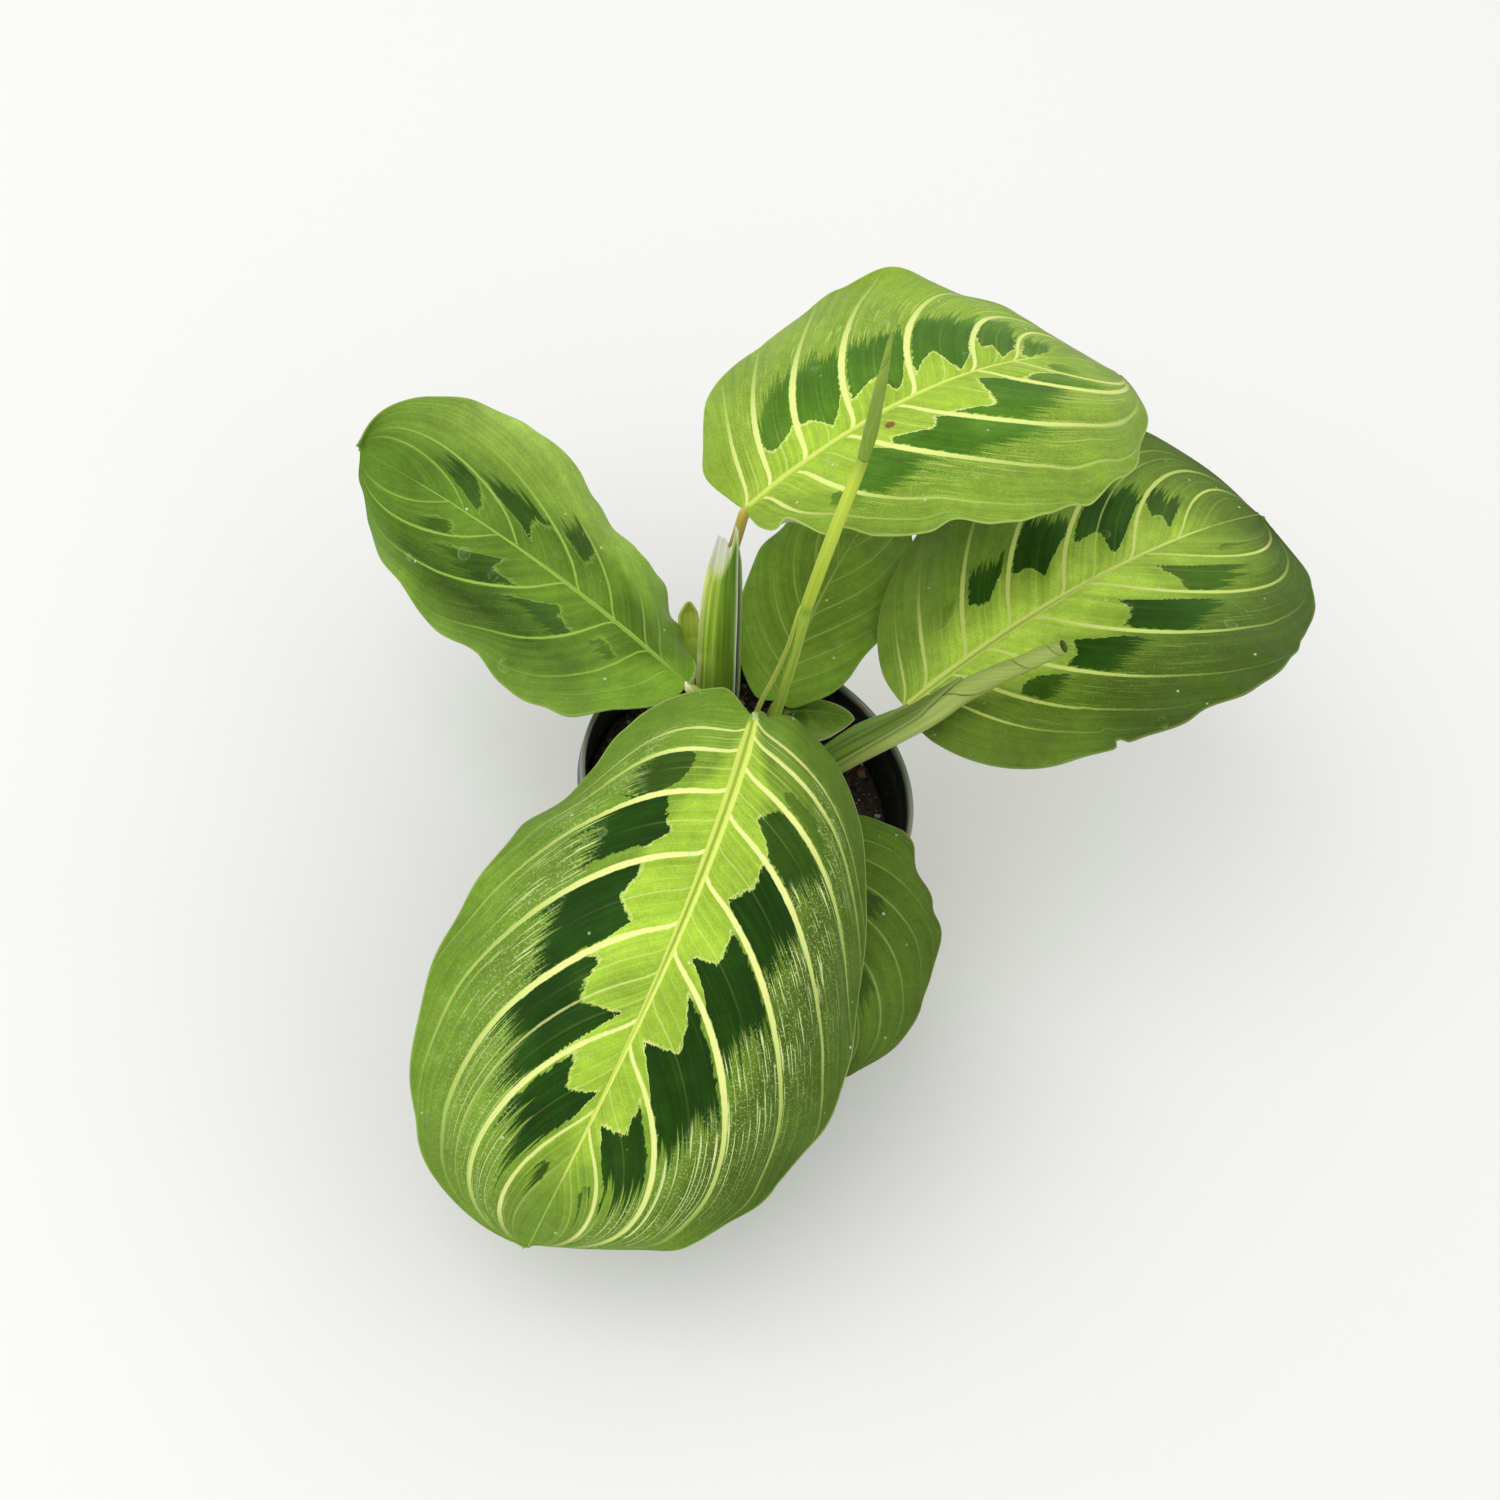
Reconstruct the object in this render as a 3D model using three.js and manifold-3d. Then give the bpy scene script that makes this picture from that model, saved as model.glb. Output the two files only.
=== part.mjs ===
// A young prayer plant (maranta) in a small round nursery pot.
// Millimetres, +Z up. The origin is the middle of the pot's base, on the surface it stands on.
// The largest leaf hangs over the pot's -Y side, and the pot's rim is level.
import * as THREE from 'three';
import { mergeVertices } from 'three/addons/utils/BufferGeometryUtils.js';
import Module from 'manifold-3d';

const wasm = await Module();
wasm.setup();

// Sizes of the pot and the soil
const pot = {
  height: 57,
  rimDiameter: 66,
  baseDiameter: 47,
  wall: 1.1,
  floor: 1.4,
  lipHeight: 4.5,
  lipStep: 0.9,
  lipRound: 0.6,
  drainCount: 6,
  drainDiameter: 5,
  drainRing: 30,
  drainSides: 12,
  sides: 48,
};
const soil = {
  level: 48,
  lumpHeight: 0.7,
  lumpWidth: 12,
  crownRise: 1.6,
  edgeDip: 0.4,
  edgeLowest: 47,
  rings: 5,
  holeClearance: 0.6,
  holeSides: 12,
};

// Clearance between pieces that touch on the real plant
const gap = 0.3;

// Leaf blades: all are about as thick as thin card. The rows of points run from firstRow to
// lastRow as shares of the length, and one more at the pointed tip. Between flatFrom and
// flatTo the faces' direction is measured; past them it is that of the nearest place.
const blade = {
  thickness: 0.8, tipReach: 0.015, tipWidth: 0.02,
  firstRow: 0.004, lastRow: 0.992, flatFrom: 0.02, flatTo: 0.97,
};

// Each leaf: where its blade joins the stalk, its length along the midrib, the half widths
// to the left and right seen from the base with the top up, and angles in degrees.
// A pair of angles holds the value at the base and at the tip. Headings turn from +X
// towards +Y, pitch is up, and bank lifts the left half. Fold lifts a half beside the
// midrib, and droop bends it down from there to its edge. Widest is the place of the
// greatest width, as a share of the length, and lobes is how far the basal lobes reach back.
const leaves = {
  leaf_front: {
    base: [-4, -8.5, 88], length: 112, left: 41.5, right: 38.5,
    heading: [-83, -99], pitch: [7, -75], bank: [24, -30],
    foldLeft: [-25, 10], foldRight: [14, -6], droopLeft: [60, 3], droopRight: [60, 23],
    widest: 0.52, baseFull: 2.15, tipFull: 2.05, tipRound: 2, lobes: 6,
    wave: [2.4, 3, -0.34], rows: 22, columns: 12, color: 0x6f9f2f,
  },
  leaf_upper: {
    base: [-20.5, 22.3, 103], length: 91, left: 48, right: 39.5,
    heading: [60.5, 39], pitch: [26, -37], pitchPower: 2, bank: [-20, -14],
    foldLeft: [16, -13], foldRight: [22, 3], droopLeft: [66, -19], droopRight: [36, 39],
    widest: 0.515, baseFull: 1.85, tipFull: 1.95, tipRound: 1.35, lobes: 2.5,
    wave: [0.6, 3.4, -0.35], rows: 22, columns: 12, color: 0x9ccb3f,
  },
  leaf_right: {
    base: [22, 23.3, 68], length: 94, left: 37.5, right: 38,
    heading: [54, 53], pitch: [39, -18], bank: [-15, 14],
    foldLeft: [0, -16], foldRight: [-1, 15], droopLeft: [32, -20], droopRight: [-10, -8],
    widest: 0.5, baseFull: 2.7, tipFull: 2.05, tipRound: 2.15, lobes: 1,
    wave: [0.8, 3, 0], rows: 20, columns: 12, color: 0x78a835,
  },
  leaf_left: {
    base: [-16.2, 3.2, 72], length: 82, left: 22.5, right: 21.5,
    heading: [162, 166], pitch: [8, -9], bank: [15, -45],
    foldLeft: [-8, -15], foldRight: [-10, 18], droopLeft: [30, 35], droopRight: [36, 34],
    widest: 0.52, baseFull: 2.7, tipFull: 2.9, tipRound: 2.3, lobes: 3,
    wave: [1.8, 3, -0.03], rows: 20, columns: 10, color: 0x5f9429,
  },
  leaf_back: {
    base: [-1.4, 20.4, 57.5], length: 60, left: 15, right: 14.5,
    heading: [94, 77], pitch: [15, 2], bank: [-14, 16],
    foldLeft: [22, 5], foldRight: [17, 5], droopLeft: [19, 20], droopRight: [17, 20],
    widest: 0.47, baseFull: 2.1, tipFull: 1.6, tipRound: 1.8, lobes: 2,
    wave: [0.9, 3, 0], rows: 14, columns: 8, color: 0x6a9f34,
  },
  leaf_lower: {
    base: [17.6, -7.2, 66], length: 50, left: 20.5, right: 22,
    heading: [-65, -77], pitch: [5, -35], bank: [0, 0],
    foldLeft: [10, 5], foldRight: [12, 5], droopLeft: [25, 25], droopRight: [15, 20],
    widest: 0.41, baseFull: 2.4, tipFull: 1.6, tipRound: 1.9, lobes: 2,
    wave: [1.3, 3, 0], rows: 14, columns: 8, color: 0x5c9030,
  },
  leaf_small: {
    base: [2.6, 22, 54.2], length: 12, left: 2.6, right: 6.6,
    heading: [25, 4], pitch: [21, 4], bank: [5, 0],
    foldLeft: [10, 5], foldRight: [10, 5], droopLeft: [25, 25], droopRight: [25, 25],
    widest: 0.45, baseFull: 2.2, tipFull: 2.2, tipRound: 1.9, lobes: 0,
    wave: [0, 3, 0], rows: 8, columns: 6, color: 0x6f9f3c,
  },
};

// Stalks: each point is x, y, z, the radius, how far the section opens into a sheath (0 is
// round, 1 is a split tube) and, where a sheath narrows, the share of its wrap. Wrap is half
// the angle that a sheath covers, and mouth is the side that its slit faces. The blade named
// in leaf sits on the stalk's end. The sheath named in around is grown together with it.
const stalks = {
  stalk_front: {
    leaf: 'leaf_front', mouth: [0, 1, 0], wrap: 110,
    points: [[-1, 9.5, 38, 1.5, 0], [-1, 9.5, 49, 1.8, 0.5], [-1.4, 8, 62, 1.6, 0.3],
      [-2.6, 2.5, 76, 1.3, 0], [-3.5, -3.5, 84.5, 1.2, 0]],
    tipRadius: 1.2, lead: 2.5, color: 0x86a93a,
  },
  stalk_upper: {
    leaf: 'leaf_upper', mouth: [0.75, -0.65, 0], wrap: 100, around: 'sheathUpper',
    points: [[-15, 20.6, 66, 1.5, 0], [-16.8, 20.9, 74, 1.6, 0], [-18.6, 20.9, 83, 1.6, 0],
      [-19.7, 20.5, 90, 1.5, 0], [-21, 19.8, 96.5, 1.35, 0]],
    tipRadius: 1.4, lead: 2.5, color: 0x8fb03a,
  },
  stalk_right: {
    leaf: 'leaf_right', mouth: [0.3, -1, 0.2], wrap: 100, around: 'sheathRight',
    points: [[9.4, 12.4, 50, 1.3, 0], [11, 13.8, 55, 1.7, 0], [15.6, 18, 61.8, 1.7, 0]],
    tipRadius: 1.4, lead: 3, color: 0x6d9330,
  },
  stalk_left: {
    leaf: 'leaf_left', mouth: [0, 1, 0], wrap: 110,
    points: [[-7, 9.5, 38, 1.2, 0], [-7, 9.5, 49, 1.4, 0.4], [-8.2, 8, 60, 1.3, 0.2],
      [-10.6, 4.6, 68.5, 1.2, 0]],
    tipRadius: 1.2, lead: 2, color: 0x9bb24a,
  },
  stalk_back: {
    leaf: 'leaf_back', mouth: [0, -1, 0], wrap: 110,
    points: [[-1, 20, 38, 1, 0], [-1, 20, 49, 1.1, 0.3], [-1.3, 18.6, 55, 1, 0]],
    tipRadius: 0.9, lead: 1.2, color: 0x86a93a,
  },
  stalk_lower: {
    leaf: 'leaf_lower', mouth: [0, 1, 0], wrap: 110,
    points: [[4, 3, 38, 1.1, 0], [4, 3, 49, 1.3, 0.4], [7.6, 1, 58, 1.2, 0.2],
      [13, -3, 64.6, 1, 0]],
    tipRadius: 1, lead: 2, color: 0x86a93a,
  },
  stalk_small: {
    leaf: 'leaf_small', mouth: [0, -1, 0], wrap: 110,
    points: [[2, 21.4, 40, 0.8, 0], [2, 21.4, 49, 0.9, 0]],
    tipRadius: 0.8, lead: 1, color: 0x9bb24a,
  },
  stalk_new: {
    mouth: [-0.7, -0.7, 0], wrap: 130,
    points: [[-0.6, 14.6, 38, 1.6, 0.3], [-0.6, 14.6, 49, 1.9, 0.8], [-0.8, 15.4, 61, 1.7, 0.8],
      [-2, 14.4, 82, 1.3, 0.3], [-3.1, 12.6, 96.5, 1.3, 0], [-3.7, 12, 118, 1.25, 0],
      [-4, 14.3, 136, 1.2, 0]],
    color: 0xa9bd45,
  },
  scale_left: {
    mouth: [0.6, -0.8, 0], wrap: 62,
    points: [[-17.5, 20, 42, 0.9, 0], [-17.5, 20, 49, 1.2, 0.3], [-18, 20.3, 56, 1.6, 0.7],
      [-20.4, 22.4, 63, 3, 1], [-22.8, 24.5, 68.5, 2.4, 1], [-24, 25.4, 71.5, 0.6, 1]],
    color: 0xa8bd3e,
  },
};
const sheaths = {
  sheathUpper: {
    mouth: [0.75, -0.65, 0], wrap: 165,
    points: [[-12, 17.5, 38, 3.4, 1], [-12, 17.5, 48, 4.1, 1], [-13.2, 18, 57, 4.3, 1],
      [-16.8, 18.8, 73, 3.9, 1], [-19.4, 19.1, 86, 3.5, 1], [-20.8, 18.8, 95.5, 3.2, 1, 0.4]],
  },
  sheathRight: {
    mouth: [0.75, -0.53, -0.4], wrap: 100,
    points: [[9, 8, 38, 3.6, 1], [9, 8, 49, 3.8, 1], [14.5, 9.6, 62, 3.8, 1],
      [25.7, 16.6, 76, 3.8, 1, 0.85], [30.2, 20.9, 82, 3.7, 1, 0.3]],
  },
};
const sheathWall = 0.8;

// A section's points, the bulge of a round one's front, a sheath's least bore as a share of
// its radius, the sections from one listed point to the next, and how tightly curves bend
const section = { arcSteps: 6, frontBulge: 0.12, leastBore: 0.4, stationsPerSpan: 2, tension: 0.4 };

// New leaves that are still rolled up. The open one is a hollow tube at its mouth.
const rolledNew = {
  points: [[-4.02, 14.37, 136.4, 1.1], [-4.6, 14.9, 142, 1.35], [-6.2, 15.5, 153.5, 1],
    [-7.6, 16, 163.5, 0.4]],
  sides: 10, color: 0x9fb44a,
};
const rolledOpen = {
  points: [[9, 8, 38, 2.3], [9, 8, 49, 2.5], [14.5, 9.6, 62, 2.6], [25.7, 16.6, 76, 2.6],
    [30.2, 20.9, 82, 2.5], [36.2, 22.8, 91, 2.1], [43.2, 24.6, 101, 1.7]],
  mouthDepth: 22, mouthStations: 5, rim: 0.7, sides: 12, color: 0xa9c06a,
};

const rad = THREE.MathUtils.degToRad;
const lerp = THREE.MathUtils.lerp;

// Points closer than this are one point of a solid
const weld = 1e-4;

function material(color, roughness) {
  return new THREE.MeshStandardMaterial({ color, roughness, metalness: 0 });
}

function namedMesh(name, geometry, color, roughness) {
  const mesh = new THREE.Mesh(geometry, material(color, roughness));
  mesh.name = name;
  return mesh;
}

function toGeometry(points, triangles) {
  const geometry = new THREE.BufferGeometry();
  const flat = points.flatMap((p) => [p.x, p.y, p.z]);
  geometry.setAttribute('position', new THREE.Float32BufferAttribute(flat, 3));
  geometry.setIndex(triangles);
  geometry.computeVertexNormals();
  return geometry;
}

function toSolid(geometry) {
  const bare = geometry.clone();
  bare.deleteAttribute('normal');
  bare.deleteAttribute('uv');
  const merged = mergeVertices(bare, weld);
  return new wasm.Manifold(new wasm.Mesh({
    numProp: 3,
    vertProperties: new Float32Array(merged.attributes.position.array),
    triVerts: new Uint32Array(merged.index.array),
  }));
}

function fromSolid(solid) {
  const mesh = solid.getMesh();
  const geometry = new THREE.BufferGeometry();
  geometry.setAttribute('position', new THREE.BufferAttribute(mesh.vertProperties, 3));
  geometry.setIndex(new THREE.BufferAttribute(mesh.triVerts, 1));
  geometry.computeVertexNormals();
  return geometry;
}

// Two triangles for the square a, b, c, d, which runs counter-clockwise seen from outside
function quad(triangles, a, b, c, d) {
  triangles.push(a, b, c, a, c, d);
}

// The midrib of a leaf, as points at even steps along its length
const spineSteps = 160;

// The ripple of the right half runs ahead of the left half's by this share of a wave
const rippleLead = 0.37;

function spineAngles(leaf, x) {
  const heading = rad(lerp(leaf.heading[0], leaf.heading[1], x));
  const bend = x ** (leaf.pitchPower ?? 1);
  const pitch = rad(lerp(leaf.pitch[0], leaf.pitch[1], bend));
  return { heading, pitch, bank: rad(lerp(leaf.bank[0], leaf.bank[1], x)) };
}

function along(heading, pitch) {
  return new THREE.Vector3(
    Math.cos(pitch) * Math.cos(heading), Math.cos(pitch) * Math.sin(heading), Math.sin(pitch));
}

function makeSpine(leaf) {
  const points = [new THREE.Vector3(...leaf.base)];
  const step = leaf.length / spineSteps;
  for (let i = 0; i < spineSteps; i += 1) {
    const middle = spineAngles(leaf, (i + 0.5) / spineSteps);
    points.push(points[i].clone().addScaledVector(along(middle.heading, middle.pitch), step));
  }
  return points;
}

// Place and frame at x along the midrib: forward, left and up
function spineFrame(leaf, spine, x) {
  const inside = Math.min(Math.max(x, 0), 1);
  const at = Math.min(Math.floor(inside * spineSteps), spineSteps - 1);
  const { heading, pitch, bank } = spineAngles(leaf, inside);
  const forward = along(heading, pitch);
  const level = new THREE.Vector3(-Math.sin(heading), Math.cos(heading), 0);
  const normal = new THREE.Vector3().crossVectors(forward, level);
  const point = spine[at].clone().lerp(spine[at + 1], inside * spineSteps - at);
  point.addScaledVector(forward, (x - inside) * leaf.length);
  return {
    point,
    left: level.clone().multiplyScalar(Math.cos(bank)).addScaledVector(normal, Math.sin(bank)),
    up: level.clone().multiplyScalar(-Math.sin(bank)).addScaledVector(normal, Math.cos(bank)),
  };
}

// Half width at x, as a share of the greatest half width, with a small drawn-out tip
function widthShare(leaf, x) {
  const { widest, baseFull, tipFull, tipRound } = leaf;
  if (x < widest) {
    return Math.sqrt(1 - (1 - x / widest) ** baseFull);
  }
  const out = Math.min((x - widest) / (1 - widest), 1);
  return Math.max((1 - out ** tipFull) ** (1 / tipRound), blade.tipWidth);
}

// A point of the blade's top: x along the midrib, t from the right edge (-1) to the left (1).
// Each half is an arc whose slope at the midrib is the fold and which droops to its edge,
// and its outer part ripples.
function leafPoint(leaf, spine, x, t) {
  const inside = Math.min(Math.max(x, 0), 1);
  const side = t < 0 ? -1 : 1;
  const e = Math.abs(t);
  const [full, fold, droop] = t < 0
    ? [leaf.right, leaf.foldRight, leaf.droopRight]
    : [leaf.left, leaf.foldLeft, leaf.droopLeft];
  const reach = e * full * widthShare(leaf, x);
  const back = (leaf.lobes / leaf.length) * e ** 3 * (1 - inside) ** 6;
  const frame = spineFrame(leaf, spine, x - back);
  const slope = rad(lerp(fold[0], fold[1], inside));
  const bend = rad(lerp(droop[0], droop[1], inside)) || 1e-3;
  const radius = full / bend;
  const out = radius * (Math.sin(slope) - Math.sin(slope - reach / radius));
  const rise = radius * (Math.cos(slope - reach / radius) - Math.cos(slope));
  const [height, count, phase] = leaf.wave;
  const turn = 2 * Math.PI * (count * inside + phase + (t < 0 ? rippleLead : 0));
  return frame.point
    .addScaledVector(frame.left, side * out)
    .addScaledVector(frame.up, rise + height * e ** 3 * Math.sin(turn));
}

// A blade is one sheet with a top and an underside. Both are split into triangles along
// the same diagonals, so that they stay apart however the blade waves.
function bladeGeometry(leaf) {
  const spine = makeSpine(leaf);
  const { rows, columns } = leaf;
  const top = [];
  const under = [];
  const step = 1e-3;
  for (let i = 0; i <= rows; i += 1) {
    const even = 0.5 - 0.5 * Math.cos((Math.PI * i) / rows);
    const x = i === rows ? 1 + blade.tipReach : lerp(blade.firstRow, blade.lastRow, even);
    const flat = Math.min(Math.max(x, blade.flatFrom), blade.flatTo);
    for (let j = 0; j <= columns; j += 1) {
      const t = -1 + (2 * j) / columns;
      const inner = t * (1 - step);
      const point = leafPoint(leaf, spine, x, t);
      const ahead = leafPoint(leaf, spine, flat + step, t)
        .sub(leafPoint(leaf, spine, flat - step, t));
      const across = leafPoint(leaf, spine, flat, inner + step)
        .sub(leafPoint(leaf, spine, flat, inner - step));
      const normal = ahead.cross(across).normalize();
      top.push(point);
      under.push(point.clone().addScaledVector(normal, -blade.thickness));
    }
  }
  const wide = columns + 1;
  const low = top.length;
  const triangles = [];
  for (let i = 0; i < rows; i += 1) {
    for (let j = 0; j < columns; j += 1) {
      const a = i * wide + j;
      const b = a + wide;
      quad(triangles, a, b, b + 1, a + 1);
      quad(triangles, low + a, low + a + 1, low + b + 1, low + b);
    }
  }
  const edge = [];
  for (let i = 0; i < rows; i += 1) {
    edge.push(i * wide);
  }
  for (let j = 0; j < columns; j += 1) {
    edge.push(rows * wide + j);
  }
  for (let i = rows; i > 0; i -= 1) {
    edge.push(i * wide + columns);
  }
  for (let j = columns; j > 0; j -= 1) {
    edge.push(j);
  }
  edge.forEach((a, k) => {
    const b = edge[(k + 1) % edge.length];
    quad(triangles, a, a + low, b + low, b);
  });
  return toGeometry(top.concat(under), triangles);
}

// The outline of a stalk at one place: a round section, blended towards a split tube.
// The first half of the points runs round the back, and the second half returns round the
// front or along the tube's inner wall.
function stalkSection(radius, open, wrap) {
  const steps = section.arcSteps;
  const inner = Math.max(radius - sheathWall, radius * section.leastBore);
  const points = [];
  for (let k = 0; k <= steps; k += 1) {
    const share = (2 * k) / steps - 1;
    const round = (share * Math.PI) / 2;
    const split = share * rad(wrap);
    points.push([
      radius * lerp(Math.cos(round), Math.cos(split), open),
      radius * lerp(Math.sin(round), Math.sin(split), open)]);
  }
  for (let k = steps; k >= 0; k -= 1) {
    const share = (2 * k) / steps - 1;
    const round = (share * Math.PI) / 2;
    const split = share * rad(wrap);
    const front = k === 0 || k === steps ? section.frontBulge : 0;
    points.push([
      lerp(-radius * (Math.cos(round) + front), inner * Math.cos(split), open),
      lerp(radius * Math.sin(round) * (1 - front), inner * Math.sin(split), open)]);
  }
  return points;
}

// Joins rings of the same number of points and closes both ends with strips
function loftGeometry(rings) {
  const count = rings[0].length;
  const triangles = [];
  for (let i = 0; i + 1 < rings.length; i += 1) {
    for (let k = 0; k < count; k += 1) {
      const a = i * count + k;
      const b = i * count + ((k + 1) % count);
      quad(triangles, a, b, b + count, a + count);
    }
  }
  const last = (rings.length - 1) * count;
  for (let k = 0; k + 1 < count / 2; k += 1) {
    const far = count - 1 - k;
    quad(triangles, k, far, far - 1, k + 1);
    quad(triangles, last + k, last + k + 1, last + far - 1, last + far);
  }
  return toGeometry(rings.flat(), triangles);
}

function curveThrough(points) {
  const path = points.map(([x, y, z]) => new THREE.Vector3(x, y, z));
  return new THREE.CatmullRomCurve3(path, false, 'catmullrom', section.tension);
}

// The value in one column of the list of points, at share u of its length. A value that a
// point leaves out is 1.
function valueAt(points, column, u) {
  const place = u * (points.length - 1);
  const i = Math.min(Math.floor(place), points.length - 2);
  return lerp(points[i][column] ?? 1, points[i + 1][column] ?? 1, place - i);
}

function stalkPoints(stalk) {
  if (!stalk.leaf) {
    return stalk.points;
  }
  const leaf = leaves[stalk.leaf];
  const forward = along(rad(leaf.heading[0]), rad(leaf.pitch[0]));
  const base = new THREE.Vector3(...leaf.base);
  const under = spineFrame(leaf, makeSpine(leaf), 0).up.multiplyScalar(-blade.thickness / 2);
  const end = base.clone().add(under).addScaledVector(forward, -gap);
  const before = end.clone().addScaledVector(forward, -stalk.lead);
  return [...stalk.points,
    [before.x, before.y, before.z, stalk.tipRadius, 0],
    [end.x, end.y, end.z, stalk.tipRadius, 0]];
}

function sectionsAlong(stalk, points) {
  const curve = curveThrough(points);
  const stations = (points.length - 1) * section.stationsPerSpan;
  const mouth = new THREE.Vector3(...stalk.mouth);
  const rings = [];
  for (let i = 0; i <= stations; i += 1) {
    const u = i / stations;
    const center = curve.getPoint(u);
    const forward = curve.getTangent(u);
    const back = mouth.clone().negate().addScaledVector(forward, mouth.dot(forward)).normalize();
    const side = new THREE.Vector3().crossVectors(forward, back);
    const wrap = stalk.wrap * valueAt(points, 5, u);
    const outline = stalkSection(valueAt(points, 3, u), valueAt(points, 4, u), wrap);
    rings.push(outline.map(([b, s]) => (
      center.clone().addScaledVector(back, b).addScaledVector(side, s))));
  }
  return loftGeometry(rings);
}

function stalkGeometry(stalk) {
  const geometry = sectionsAlong(stalk, stalkPoints(stalk));
  if (!stalk.around) {
    return geometry;
  }
  const sheath = sheaths[stalk.around];
  return fromSolid(toSolid(geometry).add(toSolid(sectionsAlong(sheath, sheath.points))));
}

// Rings of a round tube along a curve. The frame is carried along without twist.
function roundRings(points, sides, from, to, stations, thinner) {
  const curve = curveThrough(points);
  const rings = [];
  for (let i = 0; i <= stations; i += 1) {
    const u = lerp(from, to, i / stations);
    const center = curve.getPoint(u);
    const forward = curve.getTangent(u);
    const side = new THREE.Vector3(0, 1, 0).cross(forward).normalize();
    const up = new THREE.Vector3().crossVectors(forward, side);
    const radius = valueAt(points, 3, u) - thinner;
    const ring = [];
    for (let k = 0; k < sides; k += 1) {
      const turn = (2 * Math.PI * k) / sides;
      ring.push(center.clone()
        .addScaledVector(side, radius * Math.cos(turn))
        .addScaledVector(up, radius * Math.sin(turn)));
    }
    rings.push(ring);
  }
  return rings;
}

function rolledNewGeometry() {
  const { points, sides } = rolledNew;
  return loftGeometry(roundRings(points, sides, 0, 1, (points.length - 1) * 3, 0));
}

function rolledOpenGeometry() {
  const { points, sides, mouthDepth, mouthStations, rim } = rolledOpen;
  const outer = roundRings(points, sides, 0, 1, (points.length - 1) * 3, 0);
  const start = 1 - mouthDepth / curveThrough(points).getLength();
  const inner = roundRings(points, sides, 1, start, mouthStations, rim);
  return loftGeometry(outer.concat(inner));
}

// The pot: a thin tapered shell with a stepped lip, and drain holes in its floor
function potWallRadius(z) {
  const top = pot.rimDiameter / 2 - pot.lipStep;
  return lerp(pot.baseDiameter / 2, top, z / (pot.height - pot.lipHeight));
}

function potGeometry() {
  const { height, wall, floor, lipHeight, lipStep, lipRound, sides } = pot;
  const drain = pot.drainDiameter / 2;
  const base = pot.baseDiameter / 2;
  const rim = pot.rimDiameter / 2;
  const lipLow = height - lipHeight;
  const inside = rim - lipStep - wall;
  const outline = [
    [0, 0], [base - lipRound, 0], [base, lipRound],
    [rim - lipStep, lipLow], [rim, lipLow + lipRound], [rim, height - lipRound],
    [rim - lipRound, height], [inside + lipRound, height], [inside, height - lipRound],
    [inside, lipLow], [potWallRadius(floor) - wall, floor], [0, floor],
  ].map(([r, z]) => new THREE.Vector2(r, z));
  let solid = toSolid(new THREE.LatheGeometry(outline, sides).rotateX(Math.PI / 2));
  for (let k = 0; k < pot.drainCount; k += 1) {
    const turn = (2 * Math.PI * k) / pot.drainCount;
    const hole = new THREE.CylinderGeometry(drain, drain, 4 * floor, pot.drainSides);
    hole.rotateX(Math.PI / 2);
    hole.translate((pot.drainRing / 2) * Math.cos(turn), (pot.drainRing / 2) * Math.sin(turn), 0);
    solid = solid.subtract(toSolid(hole));
  }
  return fromSolid(solid);
}

// The soil's top swells a little round the stalks and has low lumps, which fade towards
// the pot. Share is the distance from the middle, 1 at the edge.
function soilHeight(x, y, share) {
  const turns = (2 * Math.PI) / soil.lumpWidth;
  const lumps = Math.sin(turns * x + 1) * Math.cos(turns * y)
    + 0.5 * Math.sin(turns * (2 * y - x));
  return soil.level + soil.crownRise * Math.sqrt(1 - share) - soil.edgeDip * share ** 4
    + soil.lumpHeight * lumps * (1 - 0.5 * share);
}

// The soil fills the pot, and every stalk stands in a plain hole in it
function soilGeometry() {
  const low = pot.floor + gap;
  const bottom = potWallRadius(low) - pot.wall - gap;
  const top = potWallRadius(soil.edgeLowest) - pot.wall - gap;
  const points = [new THREE.Vector3(0, 0, low), new THREE.Vector3(0, 0, soilHeight(0, 0, 0))];
  const triangles = [];
  const { rings } = soil;
  const { sides } = pot;
  const ringAt = (ring, k) => 2 + ring * sides + (k % sides);
  for (let ring = 0; ring <= rings; ring += 1) {
    for (let k = 0; k < sides; k += 1) {
      const turn = (2 * Math.PI * k) / sides;
      const share = ring / rings;
      const r = ring === 0 ? bottom : top * share;
      const x = r * Math.cos(turn);
      const y = r * Math.sin(turn);
      points.push(new THREE.Vector3(x, y, ring === 0 ? low : soilHeight(x, y, share)));
    }
  }
  for (let k = 0; k < sides; k += 1) {
    triangles.push(0, ringAt(0, k + 1), ringAt(0, k));
    triangles.push(1, ringAt(1, k), ringAt(1, k + 1));
    quad(triangles, ringAt(0, k), ringAt(0, k + 1), ringAt(rings, k + 1), ringAt(rings, k));
    for (let ring = 1; ring < rings; ring += 1) {
      const inside = ringAt(ring, k);
      const outside = ringAt(ring + 1, k);
      quad(triangles, inside, outside, ringAt(ring + 1, k + 1), ringAt(ring, k + 1));
    }
  }
  let solid = toSolid(toGeometry(points, triangles));
  const standing = Object.values(stalks).filter((stalk) => !stalk.around);
  for (const { points: path } of [...standing, ...Object.values(sheaths)]) {
    const [x, y, z] = path[0];
    const radius = Math.max(path[0][3], path[1][3]) + soil.holeClearance;
    const depth = pot.height - z;
    const hole = new THREE.CylinderGeometry(radius, radius, depth, soil.holeSides);
    hole.rotateX(Math.PI / 2);
    hole.translate(x, y, z - gap + depth / 2);
    solid = solid.subtract(toSolid(hole));
  }
  return fromSolid(solid);
}

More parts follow.
